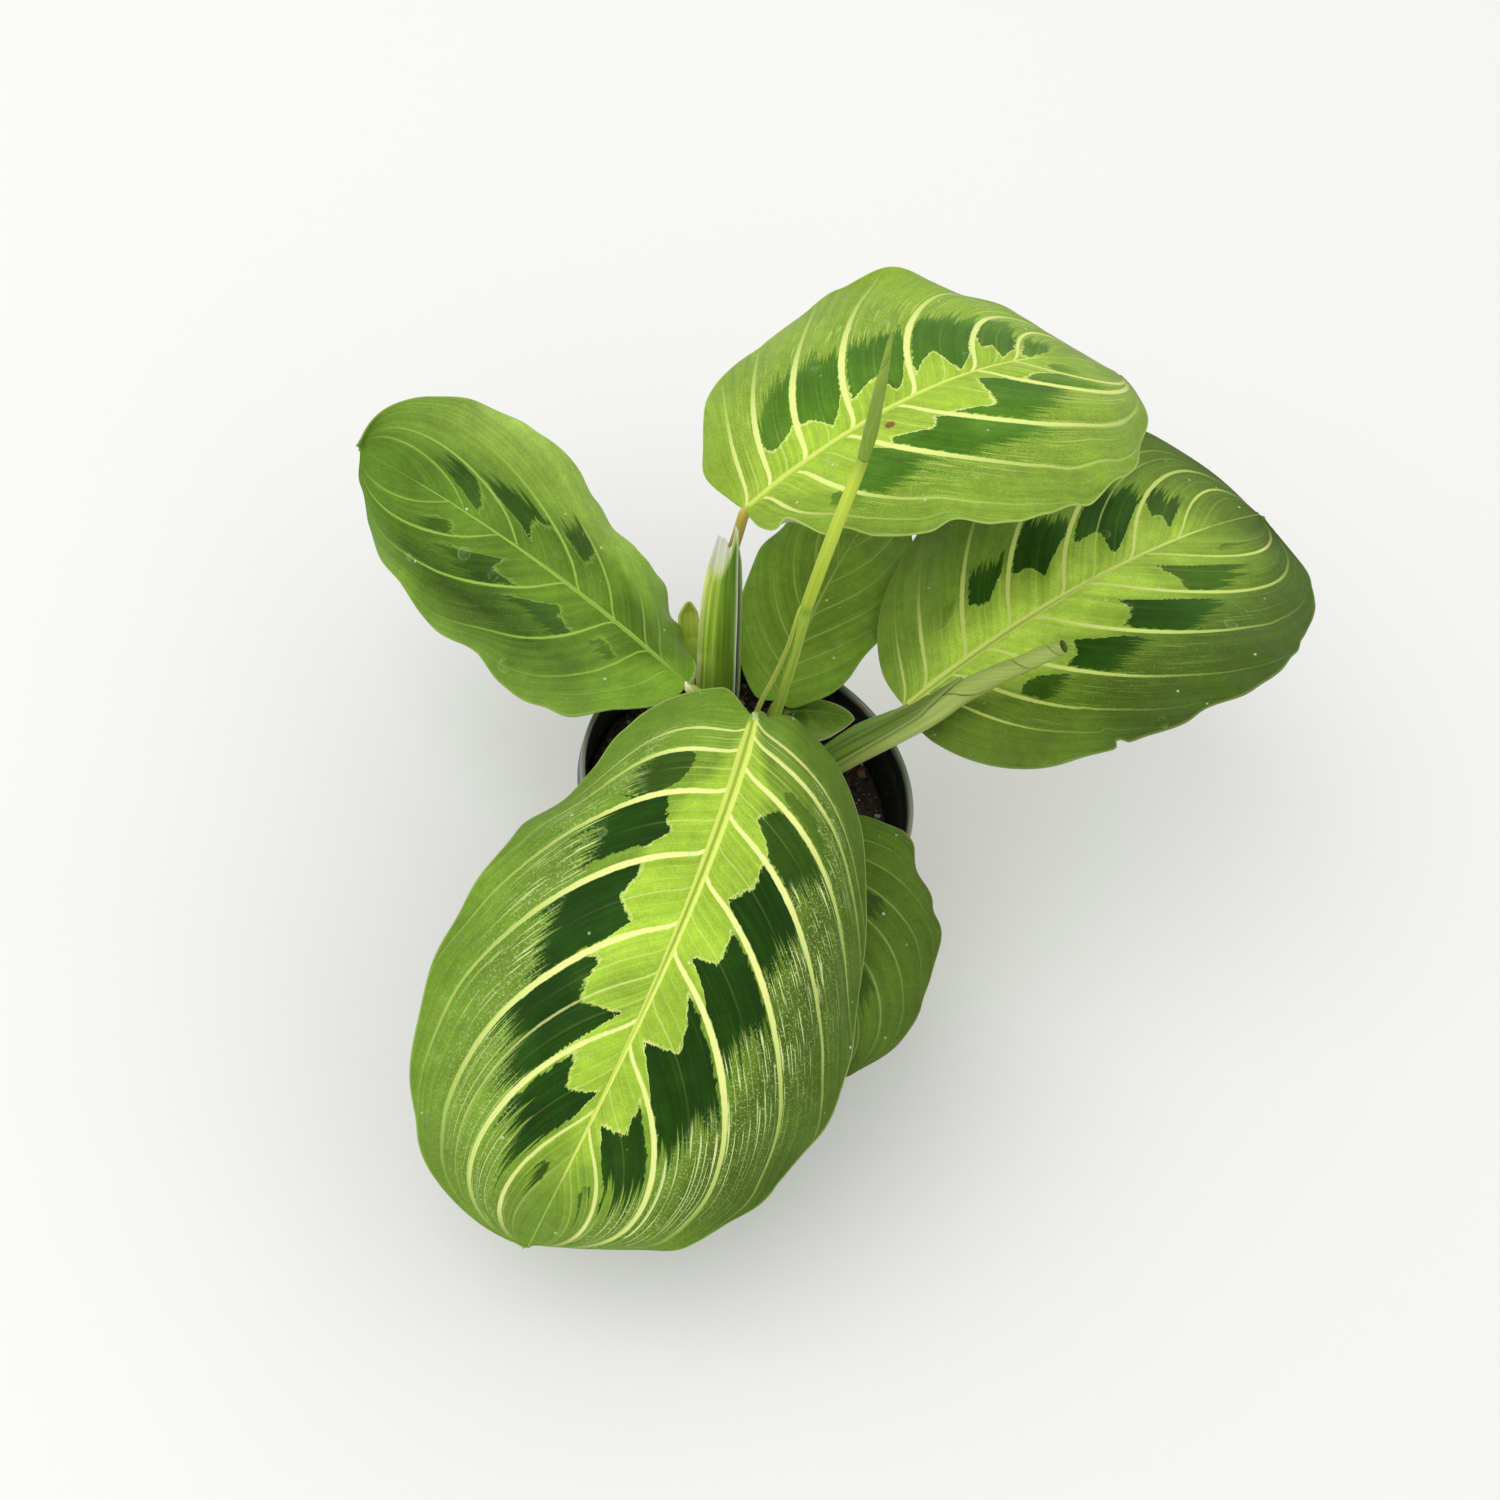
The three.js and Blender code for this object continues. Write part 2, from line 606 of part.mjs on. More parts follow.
const plant = new THREE.Group();
plant.add(namedMesh('pot', potGeometry(), 0x3a3b39, 0.5));
plant.add(namedMesh('soil', soilGeometry(), 0x1d1512, 0.95));
for (const [name, leaf] of Object.entries(leaves)) {
  plant.add(namedMesh(name, bladeGeometry(leaf), leaf.color, 0.45));
}
for (const [name, stalk] of Object.entries(stalks)) {
  plant.add(namedMesh(name, stalkGeometry(stalk), stalk.color, 0.45));
}
plant.add(namedMesh('leaf_rolled_tall', rolledNewGeometry(), rolledNew.color, 0.45));
plant.add(namedMesh('leaf_rolled_open', rolledOpenGeometry(), rolledOpen.color, 0.45));

export default plant;
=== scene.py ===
from functools import partial

import bpy
import numpy as np
from mathutils import Matrix, Vector


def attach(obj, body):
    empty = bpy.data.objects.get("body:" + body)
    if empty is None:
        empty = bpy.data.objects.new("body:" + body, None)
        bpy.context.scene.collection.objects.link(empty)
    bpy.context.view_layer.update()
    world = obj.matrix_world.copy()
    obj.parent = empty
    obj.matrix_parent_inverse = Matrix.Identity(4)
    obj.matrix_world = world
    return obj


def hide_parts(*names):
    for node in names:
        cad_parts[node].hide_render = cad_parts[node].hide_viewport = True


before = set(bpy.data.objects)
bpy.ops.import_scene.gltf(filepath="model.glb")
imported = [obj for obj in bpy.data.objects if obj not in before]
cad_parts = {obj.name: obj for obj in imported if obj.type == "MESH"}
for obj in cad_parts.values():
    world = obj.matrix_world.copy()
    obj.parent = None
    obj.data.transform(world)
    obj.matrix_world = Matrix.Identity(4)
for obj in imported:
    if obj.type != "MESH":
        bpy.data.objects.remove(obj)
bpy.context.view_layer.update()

millimetre = 0.001

# For kinds of node: the inputs that values are given for, where they aren't simply the first
# ones, the output that is handed on, where it isn't the first, and what a mode sets.
inputOrder = {
    "Mix RGBA": (0, 6, 7), "VectorMath SCALE": (0, 3), "Bump": ("Strength", "Distance", "Height"),
    "Mapping": ("Vector", "Scale", "Location", "Rotation"), "TexVoronoi": ("Vector", "Scale"),
    "TexNoise": ("Vector", "Scale", "Detail", "Roughness", "W"),
}
outputPlace = {
    "Mix RGBA": 2, "Attribute": "Vector", "TexCoord": "Object", "VectorMath DISTANCE": "Value",
    "VectorMath LENGTH": "Value",
}
modeProperty = {
    "Math": "operation", "VectorMath": "operation", "MapRange": "interpolation_type", "Mix": "data_type",
}


def colour(text):
    # an sRGB hex colour as the linear one that a shader takes: v / 12.92 in the darkest part,
    # ((v + 0.055) / 1.055)^2.4 above it
    parts = np.array([int(text[i:i + 2], 16) for i in (1, 3, 5)]) / 255
    flat = np.where(parts <= 0.04045, parts / 12.92, ((parts + 0.055) / 1.055) ** 2.4)
    return (*flat.tolist(), 1.0)


def feed(node, values):
    # gives inputs of a node their values, or links them to other nodes' outputs
    for place, value in values.items():
        if isinstance(value, bpy.types.NodeSocket):
            node.id_data.links.new(value, node.inputs[place])
        else:
            node.inputs[place].default_value = value


def put(tree, kind, *values, **settings):
    # Adds one node and hands on its output. kind is its name, with its mode after a space.
    # values go to its inputs in the order of the table above, and settings are its properties.
    name, _, mode = kind.partition(" ")
    node = tree.nodes.new("ShaderNode" + name)
    if mode:
        settings[modeProperty[name]] = mode
    for key, value in settings.items():
        setattr(node, key, value)
    feed(node, dict(zip(inputOrder.get(kind, range(len(values))), values)))
    return node.outputs[outputPlace.get(kind, 0)]


def newMaterial(name):
    # an empty material, its shader, and put for its own tree
    material = bpy.data.materials.new(name)
    material.use_nodes = True
    tree = material.node_tree
    tree.nodes.clear()
    end = tree.nodes.new("ShaderNodeOutputMaterial")
    shader = tree.nodes.new("ShaderNodeBsdfPrincipled")
    tree.links.new(shader.outputs[0], end.inputs[0])
    return material, shader, partial(put, tree)


def gridQuads(rows, columns, first=0, closed=False, under=False):
    # corners of the cells of a grid that is stored row by row, point number = row x columns +
    # column; closed joins the last column to the first, under turns the faces the other way
    down = np.arange(rows - 1)[:, None] * columns + first
    here = np.arange(columns if closed else columns - 1)[None, :]
    beside = (here + 1) % columns
    corners = [down + here, down + columns + here, down + columns + beside, down + beside]
    if under:
        corners = corners[::-1]
    return np.stack(corners, -1).reshape(-1, 4)


def piece(name, points, quads, materials, fields=None, shades=None, sharp=40):
    # makes an object from points in millimetres; fields are values kept at each point, and
    # shades gives each face its place in materials
    mesh = bpy.data.meshes.new(name)
    points = np.asarray(points, float).reshape(-1, 3)
    mesh.vertices.add(len(points))
    mesh.vertices.foreach_set("co", (points * millimetre).ravel())
    mesh.loops.add(quads.size)
    mesh.loops.foreach_set("vertex_index", quads.ravel().astype(np.int32))
    mesh.polygons.add(len(quads))
    mesh.polygons.foreach_set("loop_start", np.arange(0, quads.size, 4, dtype=np.int32))
    for material in materials:
        mesh.materials.append(material)
    if shades is not None:
        mesh.polygons.foreach_set("material_index", np.asarray(shades, np.int32))
    mesh.update(calc_edges=True)
    mesh.shade_smooth()
    mesh.set_sharp_from_angle(angle=np.radians(sharp))
    for field, values in (fields or {}).items():
        values = np.asarray(values, np.float32).reshape(len(points), 3)
        made = mesh.attributes.new(field, "FLOAT_VECTOR", "POINT")
        made.data.foreach_set("vector", values.ravel())
    return stand(name, mesh)


def stand(name, data):
    # puts a mesh, a light or a camera into the scene as an object
    made = bpy.data.objects.new(name, data)
    bpy.context.scene.collection.objects.link(made)
    return made


def belongs(made, slot, *nodes):
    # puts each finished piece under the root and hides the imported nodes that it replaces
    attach(made, "root")
    if nodes:
        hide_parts(*nodes)


def mixBy(a, b, share):
    # a where the share is 0, b where it is 1, and evenly between
    return a + (b - a) * share


def smoothStep(share):
    # 3 s^2 - 2 s^3, which starts and ends level
    return share * share * (3 - 2 * share)


def bell(value, width):
    # exp(-(value / width)^2): 1 in the middle, nearly 0 at twice the width
    return np.exp(-(value / width) ** 2)


def unit(vectors):
    # vectors divided by their lengths
    return vectors / np.maximum(np.linalg.norm(vectors, axis=-1, keepdims=True), 1e-9)


def alongCurve(center):
    # the distance from the first point of a curve to each of its points
    return np.concatenate([[0], np.cumsum(np.linalg.norm(np.diff(center, axis=0), axis=1))])


# The camera looks down on the pot's rim from the place the photograph was taken. lens and
# sensor are in millimetres, frame and targetInFrame in pixels.
view = {
    "lens": 56, "sensor": 36, "frame": 1500, "target": (0, 0, 57), "distance": 450,
    "elevation": 54, "roll": 23.3, "targetInFrame": (749.8, 782.2), "clip": (0.01, 20),
}


def makeCamera():
    # It stands back from the target by distance x cos(elevation) and above it by distance x
    # sin(elevation), and is rolled about its line of sight. The target's place in the frame,
    # over the focal length in pixels, turns that line, so that no shift is needed.
    up, roll = np.radians(view["elevation"]), np.radians(view["roll"])
    place = np.array(view["target"]) + view["distance"] * np.array([0, -np.cos(up), np.sin(up)])
    sight = np.array([0, np.cos(up), -np.sin(up)])
    level = np.array([1.0, 0, 0])
    tall = np.cross(level, sight)
    across = np.cos(roll) * level + np.sin(roll) * tall
    down = np.sin(roll) * level - np.cos(roll) * tall
    focal = view["lens"] / view["sensor"] * view["frame"]
    off = (np.array(view["targetInFrame"]) - view["frame"] / 2) / focal
    sight = unit(sight - off[0] * across - off[1] * down)
    across = unit(across - across @ sight * sight)
    data = bpy.data.cameras.new("photoCamera")
    data.lens, data.sensor_width = view["lens"], view["sensor"]
    data.clip_start, data.clip_end = view["clip"]
    made = stand("photoCamera", data)
    turn = Matrix(np.stack([across, np.cross(across, sight), -sight], 1).tolist()).to_4x4()
    made.matrix_world = Matrix.Translation((place * millimetre).tolist()) @ turn
    bpy.context.scene.camera = made


makeCamera()
print("camera placed")


# Leaf blades. Lengths are in millimetres, angles in degrees, and pairs of values are for the
# left and the right half unless something else is said.
# base: where the blade joins its stalk. wide: half widths. heading, pitch, bank: the midrib's
# direction, rise and roll at the base and at the tip. fold: the slope of each half beside the
# midrib, droop: how far it bends down to the margin, both at the base and at the tip.
# widest: where the outline is widest. baseFull, tipFull, tipRound: how full its ends are.
# lobes, lobeReach: how far the base reaches back past the stalk, and from which share of the
# width. wave: height, number and phase of the margin's waves. crimps: smaller ones: side (-1
# right, 1 left), start, end, height, number, phase, depth in the leaf's plane. trimLeft and
# trimRight: place along the midrib, how far the margin is raised, how far it is moved out.
# veins: where the main side veins leave the midrib, as shares of its length. sweep: six
# numbers for how they run on. veinBend: how far they bend back along it. thinVeins: side,
# vein and what is left of its width. quilt: height of the swollen fields between them.
# patchesLeft and patchesRight: the dark patches, each with its strength and rows of place in
# running numbers of veins, inner edge and outer edge as shares of the half width.
# look: tones from the middle (centre, near) to the margin (outer, edge), at the base and tip;
# feather, limeSoft, veinWidth, ribWidth in millimetres; the rest are strengths from 0 to 1.
plainSweep = (.067, .308, .061, .936, .5, .101)
usualBlade = {
    "pitchPower": 1, "lobeReach": .3, "veinBend": 2, "thinVeins": (), "sweep": (plainSweep, plainSweep),
    "trimLeft": [(0, 0, 0), (1, 0, 0)], "trimRight": [(0, 0, 0), (1, 0, 0)],
    "patchesLeft": (), "patchesRight": (),
}
usualLook = {
    "baseReach": .15, "rimTone": .4, "veinWidth": .2, "veinFade": .5, "ribWidth": .3, "limeMore": 0,
    "streaks": .15, "feather": 3, "fine": .2, "limeSoft": 3, "limeFrom": .8,
    "dark": "#2b5a22", "darkLight": "#3a6a2c",
}
blades = {
    "leaf_front": {
        "base": (-4, -8.5, 88), "length": 112, "wide": (41.5, 38.5), "heading": (-83, -99),
        "pitch": (7, -75), "bank": (24, -30), "fold": ((-25, 10), (14, -6)), "droop": ((60, 3), (60, 23)),
        "widest": .52, "baseFull": 2.15, "tipFull": 2.05, "tipRound": 2, "lobes": 6, "lobeReach": .18,
        "wave": (2.4, 3, -.34), "quilt": .8, "rows": 190, "columns": 150, "thinVeins": [(-1, 5, .3)],
        "crimps": [(1, .75, 1, .7, 2, .2, .4), (-1, .1, .9, .3, 5, 0, .25), (1, .1, .8, .3, 4, .3, .25)],
        "trimLeft": [(0, 0, 0), (.1, 0, -.4), (.24, 0, -1.3), (.4, 0, -.6), (.5, .3, .6), (.58, .3, .8),
                     (.7, .5, .9), (.79, 0, .3), (.875, -.8, -2), (.93, 0, 0), (1, 0, 0)],
        "trimRight": [(0, 0, 3), (.03, 0, 4), (.09, 0, 1.2), (.16, 0, -1.1), (.21, 0, -.8), (.3, .3, .8),
                      (.36, 0, 0), (.85, 0, 0), (.93, 0, 1.8), (1, 0, 0)],
        "veins": ([.016, .05, .114, .204, .314, .44, .603, .753],
                  [.044, .087, .166, .277, .399, .48, .56, .719]),
        "sweep": ((.09, .397, .059, .754, .51, .138), (0, .649, .468, .07, 0, .282)),
        "patchesLeft": [
            (.5, [(1.5, .36, .56), (1.7, .29, .64), (1.88, .34, .6)]),
            (.9, [(2.08, .3, .62), (2.3, .23, .58), (2.63, .17, .5), (2.75, .24, .46), (2.92, .28, .46)]),
            (1, [(3.04, .27, .56), (3.15, .26, .54), (3.45, .245, .48), (3.7, .19, .46),
                 (3.92, .155, .45), (3.97, .2, .44)]),
            (1, [(4.08, .22, .56), (4.35, .215, .48), (4.55, .2, .46), (4.8, .085, .43), (4.88, .2, .42),
                 (4.96, .24, .41)]),
            (1, [(5.08, .14, .52), (5.25, .19, .47), (5.45, .21, .44), (5.6, .14, .44), (5.78, .05, .43),
                 (5.9, .14, .4), (5.96, .2, .38)]),
            (1, [(6.12, .16, .44), (6.4, .17, .4), (6.55, .13, .36), (6.75, .045, .3), (6.88, .12, .27)]),
            (.8, [(7.12, .16, .22), (7.25, .12, .2), (7.35, .13, .16)]),
        ],
        "patchesRight": [
            (.85, [(1.05, .36, .6), (1.2, .3, .6), (1.5, .28, .57), (1.75, .3, .53), (1.93, .36, .5)]),
            (1, [(1.94, .36, .66), (2.2, .3, .6), (2.5, .265, .55), (2.66, .22, .54), (2.8, .3, .53)]),
            (1, [(3.02, .29, .58), (3.2, .275, .57), (3.42, .31, .56), (3.65, .26, .54), (3.82, .21, .52),
                 (3.94, .29, .5)]),
            (1, [(4.06, .34, .6), (4.25, .27, .56), (4.6, .29, .52), (5, .28, .5), (5.3, .2, .49),
                 (5.66, .085, .46), (5.8, .17, .42), (5.94, .3, .38)]),
            (1, [(6.08, .2, .42), (6.42, .185, .37), (6.6, .1, .34), (6.72, .03, .32), (6.88, .1, .28)]),
            (.9, [(7.18, .16, .24), (7.33, .1, .23), (7.48, .12, .17)]),
        ],
        "look": {
            # outer, edge and base are darker on the left half than on the right: painted shade on the half
            # turned away from the key light
            "centre": "#a9ce3e", "near": "#86ab34", "outer": ("#54701e", "#74982f"),
            "edge": ("#4e691e", "#6f932c"), "base": ("#66862c", "#74972f"), "baseReach": .17,
            "tip": "#739630", "uneven": .13, "dark": "#1c4004", "darkLight": "#34600c", "vein": "#f5fb9c",
            "veinOut": "#c3d870", "rib": "#e2f276", "groove": "#9ab33c", "streak": "#dbe89a",
            "rim": "#b3c874", "rimTone": .5, "veinWidth": .6, "veinFade": .55, "ribWidth": .76,
            "streaks": 1, "feather": 6, "fine": .55, "limeSoft": 1.5, "limeFrom": 2.2,
        },
    },
    "leaf_upper": {
        "base": (-20.5, 22.3, 103), "length": 91, "wide": (48, 39.5), "heading": (60.5, 39),
        "pitch": (26, -37), "pitchPower": 2, "bank": (-20, -14), "fold": ((16, -13), (22, 3)),
        "droop": ((66, -19), (36, 39)), "widest": .515, "baseFull": 1.85, "tipFull": 1.95,
        "tipRound": 1.35, "lobes": 2.5, "wave": (.6, 3.4, -.35), "quilt": .6, "rows": 180, "columns": 150,
        "crimps": [(-1, .6, 1, .4, 3, 0, .5), (1, .1, .3, .2, 1, 0, .4)],
        "trimLeft": [(0, 0, 0), (.06, -1.2, -1.6), (.14, .3, .3), (.24, 1, 0), (.32, 0, 0),
                     (.46, -1.8, 0), (.56, 0, 0), (.67, 2.4, 0), (.8, -2.1, 0), (.89, .5, 0),
                     (.96, -1, 0), (1, 0, 0)],
        "trimRight": [(0, 0, 1), (.02, 0, 0), (.055, 1.8, -3.8), (.085, -.5, -.2), (.115, .9, -1.5),
                      (.15, 0, 0), (.185, 0, 0), (.23, 0, -.4), (.285, 1.2, -1.4), (.35, -.4, 0),
                      (.4, -.3, .3), (.46, .6, 0), (.52, .8, -.5), (.58, -.4, .2), (.65, .6, -.4),
                      (.72, -.4, .2), (.8, 0, 0), (1, 0, 0)],
        "veins": ([.02, .084, .175, .294, .442, .588, .693], [.056, .142, .272, .398, .598, .69]),
        "sweep": ((.045, .343, .255, .301, .58, -.041), (0, 0, 0, 1.632, .103, .321)),
        "patchesLeft": [
            (.95, [(1.07, .28, .44), (1.25, .2, .49), (1.5, .19, .52), (1.75, .2, .54),
                   (1.94, .25, .56)]),
            (1, [(2.05, .21, .53), (2.3, .175, .51), (2.62, .08, .49), (2.8, .13, .48),
                 (2.94, .22, .46)]),
            (1, [(3.08, .14, .46), (3.3, .17, .44), (3.5, .185, .43), (3.72, .065, .42), (3.86, .1, .4),
                 (3.95, .2, .38)]),
            (1, [(4.07, .1, .48), (4.25, .17, .46), (4.4, .19, .45), (4.65, .07, .43), (4.78, .03, .42),
                 (4.95, .12, .41)]),
            (1, [(5.06, .24, .46), (5.2, .13, .43), (5.4, .14, .4), (5.65, .03, .36), (5.92, .1, .3)]),
            (.9, [(6.12, .04, .22), (6.35, .01, .2), (6.6, .03, .16), (6.75, .05, .12)]),
        ],
        "patchesRight": [
            (.85, [(.4, .62, .7), (.6, .55, .69), (.75, .51, .66), (.87, .48, .63), (.94, .5, .58)]),
            (1, [(1.05, .5, .67), (1.3, .4, .64), (1.6, .3, .59), (1.85, .24, .51), (1.95, .32, .46)]),
            (1, [(2.05, .3, .6), (2.15, .25, .59), (2.3, .28, .6), (2.5, .33, .6), (2.7, .29, .59),
                 (2.86, .24, .57), (2.96, .3, .53)]),
            (1, [(3.06, .25, .5), (3.28, .33, .47), (3.5, .24, .43), (3.8, .075, .4), (3.94, .16, .36)]),
            (.9, [(4.06, .2, .46), (4.5, .19, .4), (4.9, .22, .34)]),
            (.7, [(5.1, .14, .26), (5.5, .1, .24), (5.75, .12, .2)]),
        ],
        "look": {
            "centre": "#a3c43c", "near": "#92b336", "outer": ("#8bad34", "#84a434"),
            "edge": ("#8aab36", "#82a236"), "base": ("#90b036", "#90b036"), "baseReach": .14,
            "tip": "#7a9430", "uneven": .09, "dark": "#4a7718", "darkLight": "#6a9826", "vein": "#eef794",
            "veinOut": "#c2d870", "rib": "#dbec74", "groove": "#a9c744", "streak": "#c6da6e",
            "rim": "#c3d678", "rimTone": .5, "veinWidth": .66, "veinFade": .6, "ribWidth": .6,
            "limeMore": .08, "streaks": .7, "feather": 7, "fine": .6, "limeSoft": 2.4,
            "crumb": (-2.1, 41.9, 118.1),
        },
    },
    "leaf_right": {
        "base": (22, 23.3, 68), "length": 94, "wide": (37.5, 38), "heading": (54, 53), "pitch": (39, -18),
        "bank": (-15, 14), "fold": ((0, -16), (-1, 15)), "droop": ((32, -20), (-10, -8)), "widest": .5,
        "baseFull": 2.7, "tipFull": 2.05, "tipRound": 2.15, "lobes": 1, "wave": (.8, 3, 0), "quilt": .5,
        "rows": 180, "columns": 140, "thinVeins": [(1, 5, .3)],
        "crimps": [(-1, .02, .9, .4, 7, .2, .45), (1, .3, 1, .3, 4, 0, .35)],
        "trimRight": [(0, 0, -.6), (.1, 0, .5), (.2, 0, .1), (.262, 0, .5), (.277, 0, -1.7),
                      (.292, 0, .2), (.36, 0, .8), (.45, 0, 0), (.6, 0, 1.7), (.67, 0, .6), (.73, 0, 1),
                      (.77, 0, -.2), (.86, 0, 1.2), (.93, 0, 1.3), (.975, 0, 3), (1, 0, .3)],
        "veins": ([0, .066, .17, .282, .421, .5, .604, .744], [.06, .126, .217, .339, .483, .64]),
        "sweep": ((.092, .416, .688, -.5, 0, .085), (.086, 1.031, .244, .302, .186, .145)),
        "patchesLeft": [
            (.35, [(1.35, .32, .36), (1.6, .3, .38), (1.85, .33, .4)]),
            (1, [(2.14, .3, .48), (2.35, .25, .45), (2.6, .22, .43), (2.85, .34, .42)]),
            (1, [(3.06, .29, .56), (3.3, .26, .5), (3.45, .24, .46), (3.66, .155, .44), (3.82, .26, .42),
                 (3.93, .32, .4)]),
            (1, [(4.22, .28, .6), (4.35, .24, .56), (4.7, .25, .5), (5.02, .25, .46), (5.2, .2, .46),
                 (5.4, .1, .44), (5.56, .07, .42), (5.75, .15, .4), (5.93, .32, .38)]),
            (.9, [(6.06, .32, .44), (6.3, .2, .36), (6.5, .18, .3), (6.7, .075, .26), (6.78, .16, .22)]),
        ],
        "patchesRight": [
            (.9, [(1.1, .4, .54), (1.35, .36, .5), (1.6, .35, .47), (1.84, .42, .45)]),
            (1, [(2.06, .38, .56), (2.3, .35, .52), (2.62, .26, .49), (2.7, .32, .47), (2.84, .38, .45)]),
            (1, [(3.06, .34, .56), (3.3, .3, .54), (3.48, .27, .52), (3.62, .17, .5), (3.72, .28, .48),
                 (3.8, .36, .46)]),
            (.85, [(4.04, .32, .46), (4.3, .24, .43), (4.58, .1, .38), (4.66, .2, .35),
                   (4.72, .27, .32)]),
            (.5, [(5.18, .19, .25), (5.35, .16, .25), (5.48, .2, .24)]),
        ],
        "look": {
            "centre": "#bfe052", "near": "#86a834", "outer": ("#769634", "#536d1d"),
            "edge": ("#607b2c", "#48621a"), "base": ("#8cac40", "#728f32"), "baseReach": .3,
            "tip": "#465e1c", "uneven": .14, "dark": "#285008", "darkLight": "#406a14", "vein": "#e3f284",
            "veinOut": "#9fba56", "rib": "#e0f07c", "groove": "#b2ca4e", "streak": "#90ae48",
            "rim": "#8fa65e", "veinWidth": .48, "veinFade": .3, "ribWidth": .6, "limeMore": -.07,
            "streaks": .5, "feather": 4, "fine": .4, "limeSoft": 6,
        },
    },
    "leaf_left": {
        "base": (-17.9, 4.2, 72.2), "length": 80.3, "wide": (22.5, 21.5), "heading": (162.3, 166.3),
        "pitch": (8, -9), "bank": (15, -45), "fold": ((-8, -15), (-10, 18)),
        "droop": ((30, 35), (36, 34)), "widest": .52, "baseFull": 2.7, "tipFull": 2.9, "tipRound": 2.3,
        "lobes": .8, "wave": (1.8, 3, -.03), "quilt": .45, "rows": 160, "columns": 110,
        "crimps": [(-1, .02, .3, .9, 3, 0, .5), (-1, .3, 1, .3, 5, 0, .4), (1, .1, .95, .3, 5, .3, .4)],
        "trimLeft": [(0, 0, 1), (.08, 0, 1.4), (.15, 0, 3.1), (.24, 0, .7), (.36, 0, 1.5), (.46, 0, -.8),
                     (.56, 0, -.2), (.68, 0, 1), (.77, 0, -1), (.88, 0, 1.5), (.94, 0, 0), (.97, 0, -2.2),
                     (1, 0, 0)],
        "trimRight": [(0, 0, -3.5), (.04, 0, -3.2), (.09, 0, .6), (.15, 0, 1.6), (.25, 0, 1),
                      (.33, 0, -1.8), (.4, 0, -1.8), (.49, 0, -.5), (.56, 0, 1.8), (.62, 0, 1),
                      (.7, 0, 1.6), (.76, 0, .6), (.83, 0, 1.6), (.9, 0, -.2), (1, 0, 0)],
        "veins": ([.07, .142, .248, .403, .608, .76], [.1, .149, .253, .362, .551, .712]),
        "sweep": ((0, .215, .064, 1.632, .032, .291), (.067, 0, .378, 1.411, 0, .065)),
        "patchesLeft": [
            (.6, [(1.12, .32, .42), (1.4, .26, .36), (1.7, .22, .3)]),
            (.85, [(2.04, .33, .48), (2.3, .3, .43), (2.55, .2, .4), (2.65, .28, .42), (2.78, .36, .45)]),
            (.85, [(3.03, .27, .46), (3.35, .27, .4), (3.55, .15, .38), (3.66, .26, .36),
                   (3.74, .31, .35)]),
            (.8, [(4.06, .23, .34), (4.3, .17, .3), (4.46, .13, .26), (4.54, .18, .22)]),
        ],
        "patchesRight": [
            (.85, [(2.02, .48, .62), (2.3, .37, .52), (2.62, .27, .45), (2.78, .34, .42)]),
            (.95, [(3.05, .36, .42), (3.25, .32, .42), (3.45, .28, .41), (3.62, .2, .39),
                   (3.72, .12, .38), (3.82, .22, .36), (3.95, .26, .34)]),
            (.95, [(4.12, .33, .4), (4.3, .24, .38), (4.5, .15, .34), (4.68, .05, .3), (4.78, .1, .28),
                   (4.86, .19, .25)]),
        ],
        "look": {
            "centre": "#628524", "near": "#577a20", "outer": ("#405e15", "#8eb141"),
            "edge": ("#789d36", "#9aba50"), "base": ("#7ca434", "#7ca434"), "baseReach": .36,
            "tip": "#5f8424", "uneven": .2, "dark": "#2c500e", "darkLight": "#426a1a", "vein": "#9cbe50",
            "veinOut": "#8aae44", "rib": "#98bc4e", "groove": "#7fa637", "streak": "#84aa42",
            "rim": "#9cb95e", "rimTone": .45, "veinWidth": .26, "ribWidth": .33, "streaks": .22,
            "feather": 2.4, "fine": .25,
        },
    },
    "leaf_back": {
        "base": (-1.4, 20.4, 57.5), "length": 60, "wide": (15, 14.5), "heading": (94, 77),
        "pitch": (15, 2), "bank": (-14, 16), "fold": ((22, 5), (17, 5)), "droop": ((19, 20), (17, 20)),
        "widest": .47, "baseFull": 2.1, "tipFull": 1.6, "tipRound": 1.8, "lobes": 2, "wave": (.9, 3, 0),
        "quilt": .3, "rows": 110, "columns": 80,
        "crimps": [(-1, .1, .95, .3, 4, 0, .25), (1, .1, .95, .3, 4, .4, .25)],
        "trimLeft": [(0, 0, 0), (.2, 0, 0), (.4, 0, .6), (.6, 0, 0), (1, 0, 0)],
        "trimRight": [(0, 0, 0), (.1, 0, 1.2), (.25, 0, .4), (.7, 0, .4), (.83, 0, 1.8), (.93, 0, 0),
                      (1, 0, 0)],
        "veins": ([.05, .12, .21, .32, .45, .6, .76], [.07, .15, .25, .37, .51, .67, .8]),
        "look": {
            "centre": "#7b9b32", "near": "#7b9b32", "outer": ("#80a236", "#7a9c32"),
            "edge": ("#749833", "#6d902c"), "base": ("#769a2c", "#769a2c"), "tip": "#688c24",
            "uneven": .14, "vein": "#98b854", "veinOut": "#88aa46", "rib": "#9cba58", "groove": "#7a9a42",
            "streak": "#7f9f48", "rim": "#93ab60",
        },
    },
    "leaf_lower": {
        "base": (17.6, -7.2, 66), "length": 50, "wide": (20.5, 22), "heading": (-65, -77),
        "pitch": (5, -35), "bank": (0, 0), "fold": ((10, 5), (12, 5)), "droop": ((25, 25), (15, 20)),
        "widest": .41, "baseFull": 2.4, "tipFull": 1.6, "tipRound": 1.9, "lobes": 2, "wave": (1.3, 3, 0),
        "quilt": .35, "rows": 110, "columns": 90,
        "crimps": [(-1, .1, .95, .4, 5, 0, .3), (1, .1, .95, .5, 5, .4, .5)],
        "trimLeft": [(0, 0, 0), (.05, 0, -2), (.075, 0, 0), (.21, 0, -2.9), (.3, 0, -1.5), (.4, 0, -1.9),
